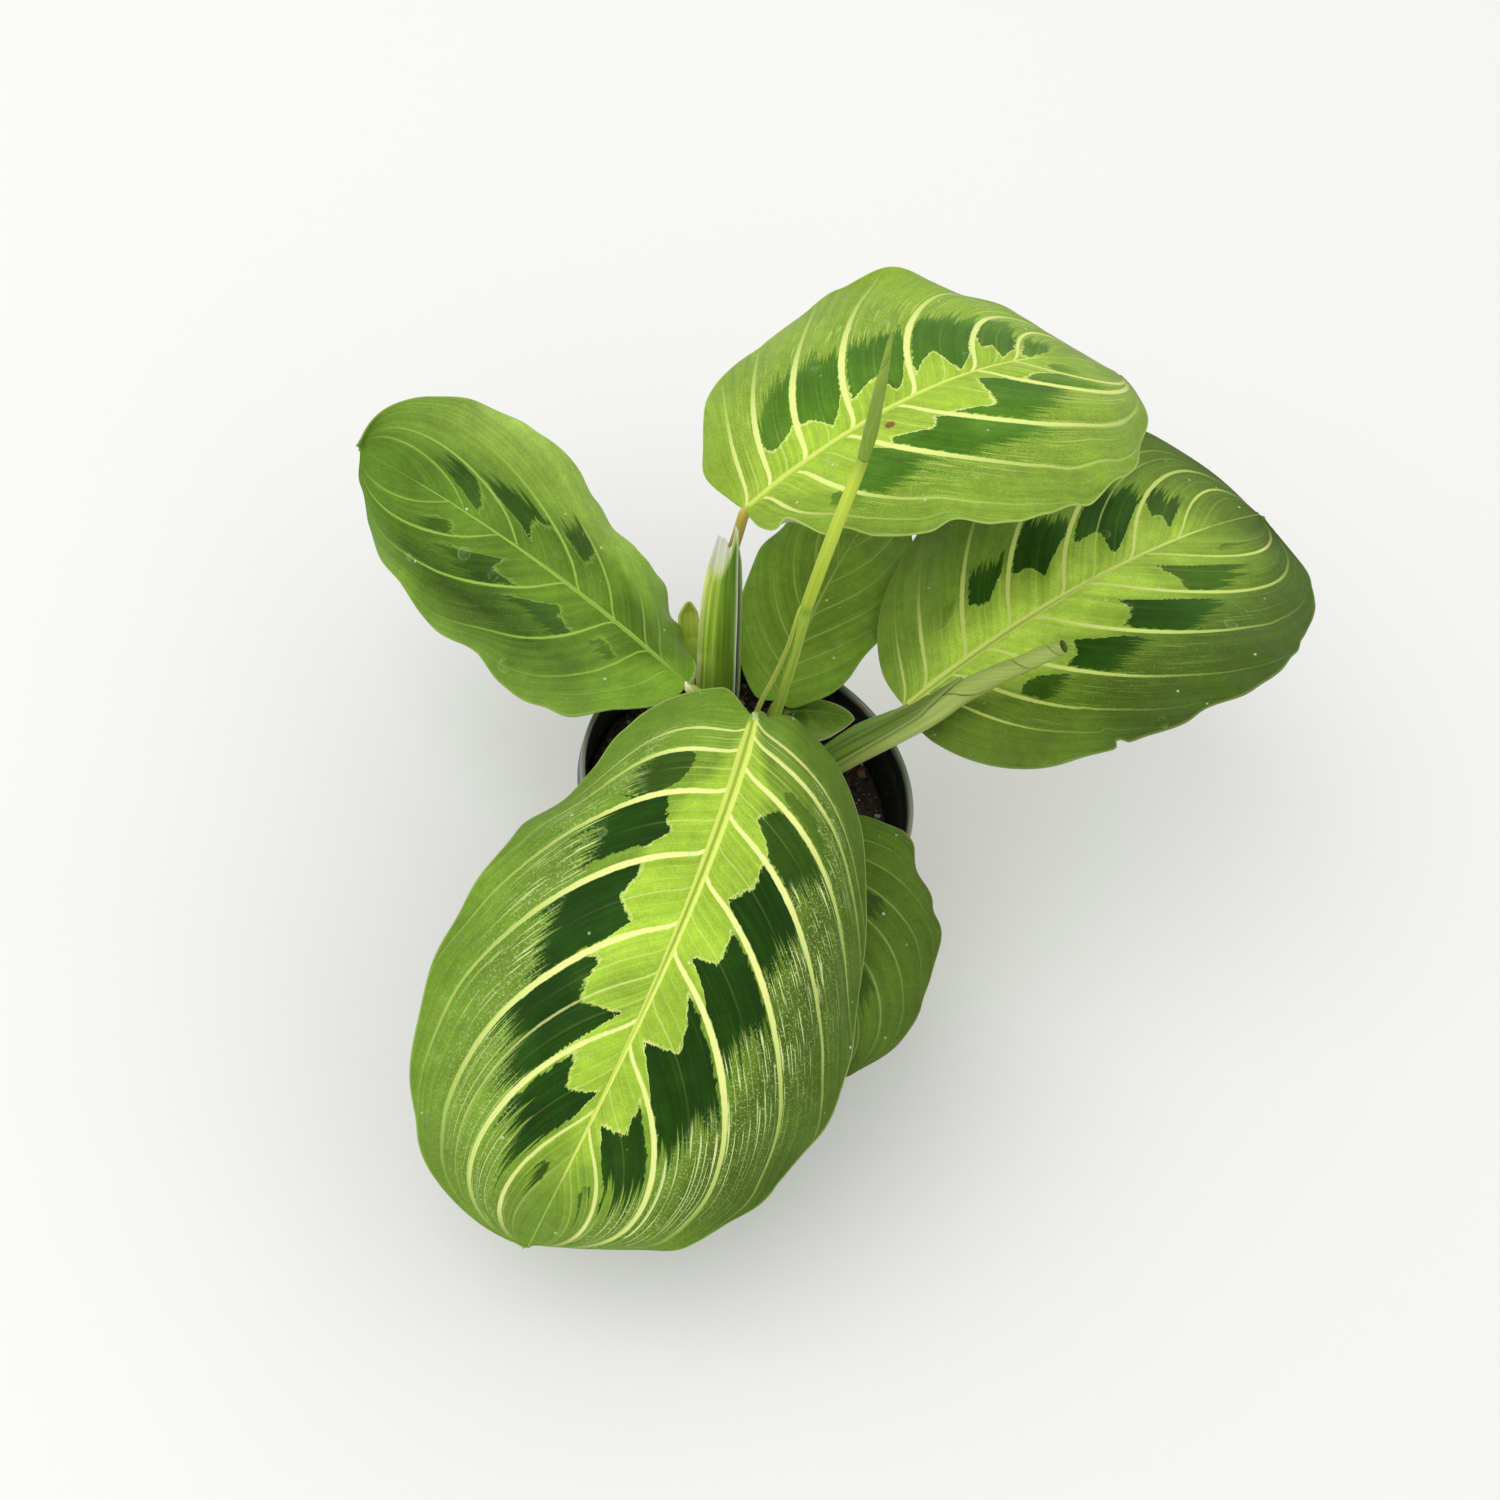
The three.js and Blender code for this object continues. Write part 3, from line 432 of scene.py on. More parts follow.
                     (.5, 0, -.4), (.58, 0, -1.4), (.68, 0, -.2), (.75, 0, -1), (.84, 0, .3),
                     (.93, 0, -.9), (1, 0, 0)],
        "veins": ([.06, .14, .24, .36, .5, .65, .79], [.05, .12, .22, .35, .49, .64, .78]),
        "patchesLeft": [
            (.7, [(2.1, .2, .42), (2.45, .15, .36), (2.85, .2, .3)]),
            (.7, [(4.1, .2, .4), (4.45, .12, .34), (4.8, .18, .28)]),
        ],
        "patchesRight": [
            (.7, [(3.1, .2, .4), (3.5, .12, .36), (3.85, .18, .3)]),
        ],
        "look": {
            "centre": "#5d7b20", "near": "#5a781e", "outer": ("#54701c", "#526e1c"),
            "edge": ("#4f6820", "#4f6820"), "base": ("#597626", "#597626"), "tip": "#506a26",
            "uneven": .12, "dark": "#2d4712", "darkLight": "#40601f", "vein": "#7f9d4c",
            "veinOut": "#6f8c40", "rib": "#83a052", "groove": "#668539", "streak": "#6c8a40",
            "rim": "#7f9a58", "ribWidth": .32,
        },
    },
    "leaf_small": {
        "base": (1.2, 21.6, 54), "length": 13.7, "wide": (3.2, 7), "heading": (24, 2), "pitch": (20, 4),
        "bank": (5, 0), "fold": ((10, 5), (10, 5)), "droop": ((25, 25), (25, 25)), "widest": .42,
        "baseFull": 2.2, "tipFull": 1.8, "tipRound": 1.5, "lobes": 0, "wave": (0, 3, 0), "quilt": .1,
        "veinBend": .3, "rows": 50, "columns": 40,
        "crimps": [(-1, .3, 1, .4, 2, 0, .2)],
        "veins": ([.1, .3, .6], [.08, .3, .55, .8]),
        "look": {
            "centre": "#6f8f2e", "near": "#64862a", "outer": ("#779634", "#779634"),
            "edge": ("#90aa52", "#90aa52"), "base": ("#4a6a16", "#4a6a16"), "baseReach": .35,
            "tip": "#7d9c3c", "uneven": .1, "vein": "#7f9d4a", "veinOut": "#7a984a", "rib": "#86a550",
            "groove": "#769a40", "streak": "#7b9d45", "rim": "#c3cca0", "rimTone": .8, "veinWidth": .08,
            "veinFade": .4, "ribWidth": .16, "streaks": .1, "fine": .1, "limeSoft": 1,
        },
    },
}
blades = {
    name: {**usualBlade, **leaf, "look": {**usualLook, **leaf["look"]}} for name, leaf in blades.items()
}
bladeForm = {
    "thickness": 0.5,  # real ones are thinner still, but this much keeps an edge in view
    "thinMargin": 0.35, "spineSteps": 160, "ends": (0.0006, 0.9985, 1.005, 1.01),
    "veinJoint": 1.3, "veinLobeReach": 0.6, "halvings": 24, "rightPhase": 0.37,
    # widths: the midrib's along the leaf, a side vein's out to the margin, and a side vein's by
    # its number, counted from the first one and back from the last one
    "ribWidths": ((0, .08, .3, .45, .6, .8, 1), (1, 1.6, 1.3, .95, .55, .3, .15)),
    "veinWidths": ((0, .2, .42, .75, .92, 1), (.55, .85, 1, .55, .28, .15)),
    "fromFirst": ((-1, -.5, 0, 1, 2), (0, 0, .62, .85, 1)),
    "fromLast": ((-.8, -.5, 0, 1, 2), (0, .3, .62, .85, 1)),
    # where side veins fade: at shares of the half width, from 0.72 of the length over 0.2 of it,
    # and there by millimetres from the margin
    "fadeMarks": (0, .62, .85, 1), "fadeFrom": .72, "fadeOver": .2, "nearMargin": ((1, 9), (.05, 1)),
    "thinReach": .4, "toneMarks": (.3, .6, .97),
    # the lime middle: least reach, reach where no patches are given, and how it shrinks at vein
    # numbers counted from the base, from limeFrom twice and from the last vein twice
    "leastLime": .1, "plainLime": .16, "limeShifts": (-.4, -.6, .4, -.3, .4),
    "limeReach": (.05, .45, 1, 1, .2),
    "swellPower": 0.7, "fullGap": 7, "groove": 0.7, "shoulders": 0.3, "ridge": 0.8, "toTip": 0.78,
    # noise on the skin: turns a millimetre across the veins and along them, detail, roughness
    "noises": ((1.1, 0.9, 3.0, 0.7), (2.1, 0.06, 2.0, 0.5), (0.7, 0.05, 1.0, 0.5)),
    # how far noise moves the edge of the lime middle, the patches, the side veins, the midrib
    "frays": (1.1, 1.2, 0.17, 0.15), "rimLight": 0.75, "specks": 0.4,
    "drops": "#a9c48a", "dust": "#dfe6c4", "crumb": "#86602c",
    "under": ("#71884a", "#8ba35f"), "underPatch": "#4c5f3c", "underVein": "#aebd84",
    "patterned": ("leaf_front", "leaf_upper", "leaf_right", "leaf_left"),
}


def pair(values, share):
    # an angle between the first and the second one given, in radians
    return np.radians(mixBy(values[0], values[1], share))


def byHalf(right, values):
    # the first value on a leaf's left half, the second on its right half
    return np.where(right, values[1], values[0])


def ahead(heading, pitch):
    # the direction (cos p cos h, cos p sin h, sin p)
    flat = np.cos(pitch)
    return np.stack([flat * np.cos(heading), flat * np.sin(heading), np.sin(pitch)], -1)


def smoothly(x, marks, values):
    # the values at the marks, joined by smooth steps
    place = np.interp(x, marks, np.arange(len(marks)))
    low = np.minimum(place.astype(int), len(marks) - 2)
    values = np.asarray(values)
    return mixBy(values[low], values[low + 1], smoothStep(place - low))


def tintAt(value, marks, tones):
    # linear colours evenly between the given tones, one for each value
    parts = np.array([colour(tone)[:3] for tone in tones])
    return np.stack([np.interp(value, marks, parts[:, k]) for k in range(3)], -1)


def spineAt(leaf, x):
    # the midrib's points, and its forward, left and up directions, at shares x of its length:
    # headings and pitches run evenly from base to tip, and even steps along them are summed
    power, count = leaf["pitchPower"], bladeForm["spineSteps"]
    middle = (np.arange(count) + 0.5) / count
    steps = ahead(pair(leaf["heading"], middle), pair(leaf["pitch"], middle ** power))
    nodes = np.vstack([[0, 0, 0], np.cumsum(steps, 0)]) * leaf["length"] / count + leaf["base"]
    inside = np.clip(x, 0, 1)
    heading, pitch = pair(leaf["heading"], inside), pair(leaf["pitch"], inside ** power)
    bank = pair(leaf["bank"], inside)[..., None]
    forward = ahead(heading, pitch)
    level = np.stack([-np.sin(heading), np.cos(heading), 0 * heading], -1)
    normal = np.cross(forward, level)
    marks = np.linspace(0, 1, count + 1)
    place = np.stack([np.interp(inside, marks, nodes[:, k]) for k in range(3)], -1)
    place = place + forward * ((x - inside) * leaf["length"])[..., None]
    left = level * np.cos(bank) + normal * np.sin(bank)
    return place, forward, left, normal * np.cos(bank) - level * np.sin(bank)


def widthShare(leaf, x):
    # half width along the leaf: sqrt(1 - (1 - x/w)^baseFull) up to the widest place w, and
    # (1 - ((x - w)/(1 - w))^tipFull)^(1/tipRound) from there to the tip
    widest = leaf["widest"]
    low = 1 - np.clip(1 - x / widest, 0, 1) ** leaf["baseFull"]
    high = 1 - np.clip((x - widest) / (1 - widest), 0, 1) ** leaf["tipFull"]
    rounded = np.clip(high, 0, 1) ** (1 / leaf["tipRound"])
    return np.where(x < widest, np.sqrt(np.clip(low, 0, 1)), np.maximum(rounded, 0.02))


def lobeShift(leaf, x, wide, share):
    # how far back towards the stalk a point has moved: the lobe's depth by a smooth step that
    # is whole at the given share of the width, and by (1 - x)^6
    return leaf["lobes"] / leaf["length"] * smoothStep(np.clip(wide / share, 0, 1)) * (1 - x) ** 6


def bladePoints(leaf, x, t):
    # x runs along the midrib and t from the right edge, -1, to the left one, 1. Each half is
    # an arc that starts at the fold's slope and bends by the droop: out = r (sin s - sin(s -
    # d/r)), up = r (cos(s - d/r) - cos s) at distance d. Its outer part ripples, by e^3 to
    # e^5, its margin is trimmed in and out, and two round lobes reach back past the stalk.
    inside, e, right = np.clip(x, 0, 1), np.abs(t), t < 0
    full = byHalf(right, leaf["wide"])
    half = full * widthShare(leaf, x)
    rise = 0 * half
    for side, start, end, height, waves, phase, inPlane in leaf["crimps"]:
        share = np.clip((inside - start) / (end - start), 0, 1)
        wave = np.sin(2 * np.pi * (waves * share + phase)) * np.sin(np.pi * share) ** 0.5
        wave = wave * (right == (side < 0))
        rise = rise + height * e ** 5 * wave
        half = half + inPlane * e ** 4 * wave
    for key, here in (("trimLeft", ~right), ("trimRight", right)):
        marks, up, out = np.array(leaf[key]).T
        rise = rise + here * e ** 5 * smoothly(inside, marks, up)
        half = half + here * e ** 4 * smoothly(inside, marks, out)
    reach = e * half
    back = lobeShift(leaf, inside, reach / full, leaf["lobeReach"])
    place, _, left, up = spineAt(leaf, x - back)
    slope, bend = [byHalf(right, [pair(ends, inside) for ends in leaf[key]]) for key in ("fold", "droop")]
    radius = full / np.where(bend == 0, 1e-3, bend)
    out = radius * (np.sin(slope) - np.sin(slope - reach / radius))
    rise = rise + radius * (np.cos(slope - reach / radius) - np.cos(slope))
    height, count, phase = leaf["wave"]
    turn = 2 * np.pi * (count * inside + phase + np.where(right, bladeForm["rightPhase"], 0))
    rise = rise + height * e ** 3 * np.sin(turn)
    return place + left * (np.where(right, -1, 1) * out)[..., None] + up * rise[..., None], reach


def veinSweep(a, e, sweep):
    # how far towards the tip a side vein that leaves the midrib at a has swept, at share e of
    # the half width: (s0 + s1 a^2) e + (s2 + s3 a) min(s4 + 2.4 a, 1) e^2 + s5 e^6
    a = np.clip(a, 0, 1)
    bent = (sweep[2] + sweep[3] * a) * np.clip(sweep[4] + 2.4 * a, 0.05, 1) * e ** 2
    return (sweep[0] + sweep[1] * a ** 2) * e + bent + sweep[5] * e ** 6


def veinStart(x, e, sweep):
    # where on the midrib the vein through (x, e) leaves it, found by halving
    low, high = np.full(x.shape, -0.8), np.ones(x.shape)
    for _ in range(bladeForm["halvings"]):
        a = (low + high) / 2
        beyond = a + veinSweep(a, e, sweep) > x
        low, high = np.where(beyond, low, a), np.where(beyond, a, high)
    return a


def veinCount(a, starts):
    # turns a start on the midrib into a running number that is whole on each main vein
    marks = [2 * starts[0] - starts[1], *starts, min(2 * starts[-1] - starts[-2], 0.95), 1.04]
    numbers = np.arange(-1, len(starts) + 2)
    low = numbers[0] + (a - marks[0]) / (marks[1] - marks[0])
    return np.where(a < marks[0], low, np.interp(a, marks, numbers))


def veinRuns(leaf, x, e, right, reach):
    # the vein number at each point, counted for each half. Where a vein meets the midrib it
    # bends back along it, by exp(-distance), and near the base less sharply than the lobes.
    inside = np.clip(x, 0, 1)
    wide = reach / byHalf(right, leaf["wide"])
    joined = inside + leaf["veinBend"] / leaf["length"] * np.exp(-reach / bladeForm["veinJoint"])
    joined = joined + lobeShift(leaf, inside, wide, bladeForm["veinLobeReach"])
    joined = joined - lobeShift(leaf, inside, wide, leaf["lobeReach"])
    return [veinCount(veinStart(joined, e, leaf["sweep"][k]), leaf["veins"][k]) for k in (0, 1)]


def spacing(points, count):
    # the distance in millimetres from one vein to the next: 1 over the slope of the count on
    # the surface, sqrt((G i^2 - 2 F i j + E j^2) / (E G - F^2))
    alongRow, alongColumn = np.gradient(points, axis=0), np.gradient(points, axis=1)
    i, j = np.gradient(count, axis=0), np.gradient(count, axis=1)
    e = (alongRow ** 2).sum(-1)
    f = (alongRow * alongColumn).sum(-1)
    g = (alongColumn ** 2).sum(-1)
    slope = (g * i ** 2 - 2 * f * i * j + e * j ** 2) / np.maximum(e * g - f ** 2, 1e-9)
    return np.clip(1 / np.sqrt(np.maximum(slope, 1e-6)), 0.3, 20)


def patchDistances(count, e, half, gap, patches):
    # how far inside a dark patch each point lies, in millimetres: from its inner edge and
    # the veins beside it, from its outer edge, and the patch's strength
    inner, outer, tone = np.full(e.shape, -30.0), np.full(e.shape, -30.0), np.zeros(e.shape)
    for strength, rows in patches:
        marks, near, far = np.array(rows).T
        beside = np.minimum(count - marks[0], marks[-1] - count) * gap
        fromNear = np.minimum((e - np.interp(count, marks, near)) * half, beside)
        fromFar = (np.interp(count, marks, far) - e) * half
        better = np.minimum(fromNear, fromFar) > np.minimum(inner, outer)
        inner, outer = np.where(better, fromNear, inner), np.where(better, fromFar, outer)
        tone = np.where(better, strength, tone)
    return inner, outer, tone


def limeDistance(leaf, counts, e, half, right):
    # how far inside the lime middle each point lies: it reaches out to the patches' inner
    # edges, and by limeReach less far before the vein limeFrom and past the last one
    look, inside = leaf["look"], []
    for count, starts, key in zip(counts, leaf["veins"], ("patchesLeft", "patchesRight")):
        last = len(starts) - 1
        plain = [(number, bladeForm["plainLime"], 0) for number in (0, last)]
        rows = sorted(row for _, group in leaf[key] for row in group) or plain
        marks, near, _ = np.array(rows).T
        edge = np.interp(count, marks, np.maximum(near, bladeForm["leastLime"])) + look["limeMore"]
        marks = np.add([0, look["limeFrom"], look["limeFrom"], last, last], bladeForm["limeShifts"])
        inside.append((edge * np.interp(count, marks, bladeForm["limeReach"]) - e) * half)
    return byHalf(right, inside)


def veinSizes(leaf, counts, x, e, right, margin):
    # half width and strength of the side veins, and their number back from the last one. They
    # swell a little way out and thin towards the margin; the first and last are weak, and near
    # the tip they fade before the margin.
    look = leaf["look"]
    fromLast = byHalf(right, [len(starts) - 1 - count for starts, count in zip(leaf["veins"], counts)])
    rank = np.interp(byHalf(right, counts), *bladeForm["fromFirst"])
    rank = rank * np.interp(fromLast, *bladeForm["fromLast"])
    for side, thin, share in leaf["thinVeins"]:
        less = 1 - (1 - share) * bell(counts[side < 0] - thin, bladeForm["thinReach"])
        rank = np.where(right == (side < 0), rank * less, rank)
    wide = np.interp(e, *bladeForm["veinWidths"])
    fade = np.interp(e, bladeForm["fadeMarks"], [1, 1, look["veinFade"], 0.25 * look["veinFade"]])
    nearTip = np.clip((x - bladeForm["fadeFrom"]) / bladeForm["fadeOver"], 0, 1)
    fade = rank ** 0.5 * fade * mixBy(1, np.interp(margin, *bladeForm["nearMargin"]), nearTip)
    return look["veinWidth"] * rank * wide, fade, fromLast


def bodyTint(look, x, e, right):
    # the leaf's green between its veins: three tones from the midrib out to the margin on
    # each half, and others towards the base and the tip. leaf_front's darker left half is
    # painted shade
    tint = 0
    toBase = np.clip(1 - x / look["baseReach"], 0, 1)[..., None] ** 0.7
    toTip = np.clip((x - bladeForm["toTip"]) / (1 - bladeForm["toTip"]), 0, 1)[..., None]
    for here, half in ((~right, 0), (right, 1)):
        tones = [look["near"], look["outer"][half], look["edge"][half]]
        base = np.array(colour(look["base"][half])[:3])
        tint = tint + here[..., None] * mixBy(tintAt(e, bladeForm["toneMarks"], tones), base, toBase)
    return mixBy(tint, np.array(colour(look["tip"])[:3]), toTip)


def bladeMaterial(name, look, seed):
    # living leaf: waxy skin with a satin sheen over green tissue. Pale veins stand out from a
    # lime middle, and dark patches, crisp towards the midrib, run out in streaks to the margin.
    material, shader, add = newMaterial(name)
    read = [add("SeparateXYZ", add("Attribute", attribute_name=key)).node.outputs
            for key in ("field", "patch", "rib", "vein")]
    (count, gap, e), (inner, outer, tone), (fromRib, ribWide, margin), (veinWide, veinTone, limeInside) = read
    spot, body = [add("Attribute", attribute_name=key) for key in ("spot", "body")]
    place = add("TexCoord")
    tones = {key: colour(value) for key, value in look.items() if isinstance(value, str)}
    feather, streaks = look["feather"], look["streaks"]

    shift = (seed, 0, 0)
    teeth, streak, broad = [
        add("TexNoise", add("Mapping", spot, (across, along, 1), shift), 1.0, detail, rough)
        for across, along, detail, rough in bladeForm["noises"]]
    dashes = add("TexNoise", add("Mapping", spot, (2.6, 0.16, 1), shift), 1.0, 2.0, 0.6, 5,
                 noise_dimensions="4D")
    limeFray, inFray, veinFray, ribFray = [
        add("Math MULTIPLY_ADD", noise, 2 * size, -size)
        for noise, size in zip((streak, teeth, teeth, teeth), bladeForm["frays"])]
    grain = add("TexNoise", place, 2600.0, 2.0, 0.6)  # cells of the skin, 0.4 mm
    mottle = add("TexNoise", place, 420.0, 3.0, 0.6)  # 2.5 mm
    cloud = add("TexNoise", place, 60.0, 2.0, 0.5)  # 17 mm

    # the body: green, a little uneven, lighter along the middle between two main veins
    change = add("MapRange", cloud, 0.38, 0.66, 1 - look["uneven"], 1 + look["uneven"])
    for noise, uneven in ((mottle, 0.1), (grain, 0.12), (broad, 0.12)):
        change = add("Math MULTIPLY", change, add("MapRange", noise, 0.3, 0.7, 1 - uneven, 1 + uneven))
    body = add("VectorMath SCALE", body, change)

    # a lime middle
    limeEdge = add("Math ADD", limeInside, limeFray)
    lime = add("MapRange SMOOTHSTEP", limeEdge, -look["limeSoft"], look["limeSoft"])
    lime = add("Math MULTIPLY", lime, veinTone)
    body = add("Mix RGBA", lime, body, add("VectorMath SCALE", tones["centre"][:3], change))

    # dark patches: toothed towards the midrib, where a pale line runs round them, and frayed
    # towards the margin
    toInner = add("Math ADD", inner, inFray)
    near = add("MapRange SMOOTHSTEP", toInner, -0.12, 0.16)
    toOuter = outer
    for noise, size in ((streak, feather), (broad, 0.7 * feather)):
        toOuter = add("Math ADD", toOuter, add("Math MULTIPLY_ADD", noise, 2 * size, -size))
    far = add("MapRange SMOOTHSTEP", toOuter, -0.16 * feather, 0.14 * feather)
    dark = add("Math MULTIPLY", add("Math MULTIPLY", near, far), tone)
    paler = add("MapRange", outer, 0.3 * feather, -0.4 * feather, 0.0, 0.5)
    paler = add("Math ADD", paler, add("MapRange", streak, 0.5, 0.7, 0.0, 0.3))
    paler = add("Math ADD", paler, add("MapRange", cloud, 0.5, 0.7, 0.0, 0.35), use_clamp=True)
    inPatch = add("VectorMath SCALE", add("Mix RGBA", paler, tones["dark"], tones["darkLight"]), change)
    rimLight = add("Math MULTIPLY", add("MapRange SMOOTHSTEP", toInner, -0.65, -0.12), lime)
    body = add("Mix RGBA", add("Math MULTIPLY", rimLight, bladeForm["rimLight"]), body, tones["vein"])
    body = add("Mix RGBA", dark, body, inPatch)

    # pale threads along the veins where the patches end and beyond, and specks between them
    beyond = add("MapRange SMOOTHSTEP", outer, 2.2, -0.6)
    for limit in (add("MapRange", e, 0.3, 0.42), add("MapRange", e, 0.96, 0.66, 0.1, 1.0), veinTone):
        beyond = add("Math MULTIPLY", beyond, limit)
    for noise, low, strength in ((dashes, 0.56, streaks), (grain, 0.57, bladeForm["specks"] * streaks)):
        shown = add("Math MULTIPLY", add("MapRange SMOOTHSTEP", noise, low, 0.64), beyond)
        body = add("Mix RGBA", add("Math MULTIPLY", shown, strength), body, tones["streak"])

    # fine veins: one half way between two main veins, and close ones in the lime middle
    swing = add("Math PINGPONG", count, 0.5)
    toHalf = add("Math MULTIPLY", add("Math SUBTRACT", 0.5, swing), gap)
    half = add("MapRange SMOOTHSTEP", toHalf, 0.24, 0.08)
    for limit in (add("MapRange", e, 0.5, 0.25), add("MapRange", dark, 0.3, 1.0, 0.6, 0.1)):
        half = add("Math MULTIPLY", half, limit)
    sixth = add("Math PINGPONG", add("Math MULTIPLY", count, 6.0), 0.5)
    close = add("MapRange SMOOTHSTEP", add("Math MULTIPLY", sixth, gap), 0.9, 0.15, 0.0, 0.34)
    for limit in (add("MapRange", dark, 0.0, 0.6, 1.0, 0.05), add("MapRange", e, 0.5, 0.2)):
        close = add("Math MULTIPLY", close, limit)
    fine = add("Math MULTIPLY", veinTone, look["fine"])
    fine = add("Math MULTIPLY", add("Math MAXIMUM", half, close), fine)
    body = add("Mix RGBA", fine, body, tones["vein"])

    # main veins, with a ragged edge
    toVein = add("Math MULTIPLY", swing, gap)
    toVein = add("Math ADD", toVein, veinFray)
    main = add("MapRange SMOOTHSTEP", add("Math SUBTRACT", veinWide, toVein), -0.14, 0.1)
    main = add("Math MULTIPLY", main, veinTone)
    fresh = add("MapRange SMOOTHSTEP", e, 0.78, 0.35)
    body = add("Mix RGBA", main, body, add("Mix RGBA", fresh, tones["veinOut"], tones["vein"]))

    # midrib: a thin green groove between two pale lines
    ribEdge = add("Math ADD", add("Math ABSOLUTE", fromRib), ribFray)
    share = add("Math DIVIDE", ribEdge, ribWide)
    onRib = add("MapRange SMOOTHSTEP", share, 1.12, 0.88)
    onRib = add("Math MULTIPLY", onRib, add("MapRange", veinTone, 0.2, 0.7, 0.35, 1.0))
    body = add("Mix RGBA", onRib, body, tones["rib"])
    groove = add("MapRange SMOOTHSTEP", share, 0.42, 0.2)
    groove = add("Math MULTIPLY", groove, add("MapRange", ribWide, 0.25, 0.8, 0.0, 0.8))
    body = add("Mix RGBA", groove, body, tones["groove"])

    # a thin pale line at the margin, and faint dried water drops, round, 2 to 3 mm
    atMargin = add("MapRange SMOOTHSTEP", margin, 0.45, 0.1, 0.0, look["rimTone"])
    body = add("Mix RGBA", atMargin, body, tones["rim"])
    drops = add("TexVoronoi", place, 105.0).node
    drop = drops.outputs["Distance"]
    some = add("MapRange", add("SeparateXYZ", drops.outputs["Color"]), 0.5, 0.56, 0.0, 0.3)
    ring = add("Math MULTIPLY", add("MapRange", drop, 0.1, 0.125), add("MapRange", drop, 0.16, 0.135))
    mark = add("Math MAXIMUM", ring, add("MapRange", drop, 0.14, 0.12, 0.0, 0.35))
    for limit in (some, add("MapRange", mottle, 0.4, 0.6)):
        mark = add("Math MULTIPLY", mark, limit)
    body = add("Mix RGBA", mark, body, colour(bladeForm["drops"]))
    dots = add("TexVoronoi", place, 340.0).node  # specks of dust, 0.5 mm
    few = add("MapRange", add("SeparateXYZ", dots.outputs["Color"]), 0.86, 0.9, 0.0, 0.75)
    dust = add("Math MULTIPLY", add("MapRange", dots.outputs["Distance"], 0.13, 0.05), few)
    body = add("Mix RGBA", dust, body, colour(bladeForm["dust"]))
    if "crumb" in look:
        away = add("VectorMath DISTANCE", place, tuple(np.array(look["crumb"]) * millimetre))
        body = add("Mix RGBA", add("MapRange", away, 0.0013, 0.0008), body, colour(bladeForm["crumb"]))

    sheen = add("MapRange", mottle, 0.3, 0.7, 0.42, 0.54)
    raised = add("Math ADD", add("Math ADD", streak, grain), main)
    feed(shader, {"Base Color": body, "Roughness": add("Math SUBTRACT", sheen, mark), "IOR": 1.4,
                  "Specular IOR Level": 0.15, "Normal": add("Bump", 0.4, 0.0002, raised)})
    return material


def undersideMaterial():
    # the dull side of a living leaf: paler, greyer, with veins that stand out as ridges, and
    # the dark patches showing through
    material, shader, add = newMaterial("livingLeafUnderside")
    count, gap, _ = add("SeparateXYZ", add("Attribute", attribute_name="field")).node.outputs
    inner, outer, _ = add("SeparateXYZ", add("Attribute", attribute_name="patch")).node.outputs
    spot = add("Attribute", attribute_name="spot")
    streak = add("TexNoise", add("Mapping", spot, (2.1, 0.08, 1)), 1.0, 2.0)  # veins 0.5 mm apart
    body = add("Mix RGBA", streak, *[colour(tone) for tone in bladeForm["under"]])
    near = add("MapRange", inner, -0.5, 0.8)
    far = add("MapRange", outer, -2.5, 2.0, 0.0, 0.45)
    body = add("Mix RGBA", add("Math MULTIPLY", near, far), body, colour(bladeForm["underPatch"]))
    toVein = add("Math MULTIPLY", add("Math PINGPONG", count, 0.5), gap)
    main = add("MapRange SMOOTHSTEP", toVein, 0.5, 0.2)
    body = add("Mix RGBA", main, body, colour(bladeForm["underVein"]))
    raised = add("Math ADD", main, streak)
    feed(shader, {"Base Color": body, "Roughness": 0.62, "IOR": 1.4, "Specular IOR Level": 0.3,
                  "Normal": add("Bump", 0.3, 0.0002, raised)})
    return material


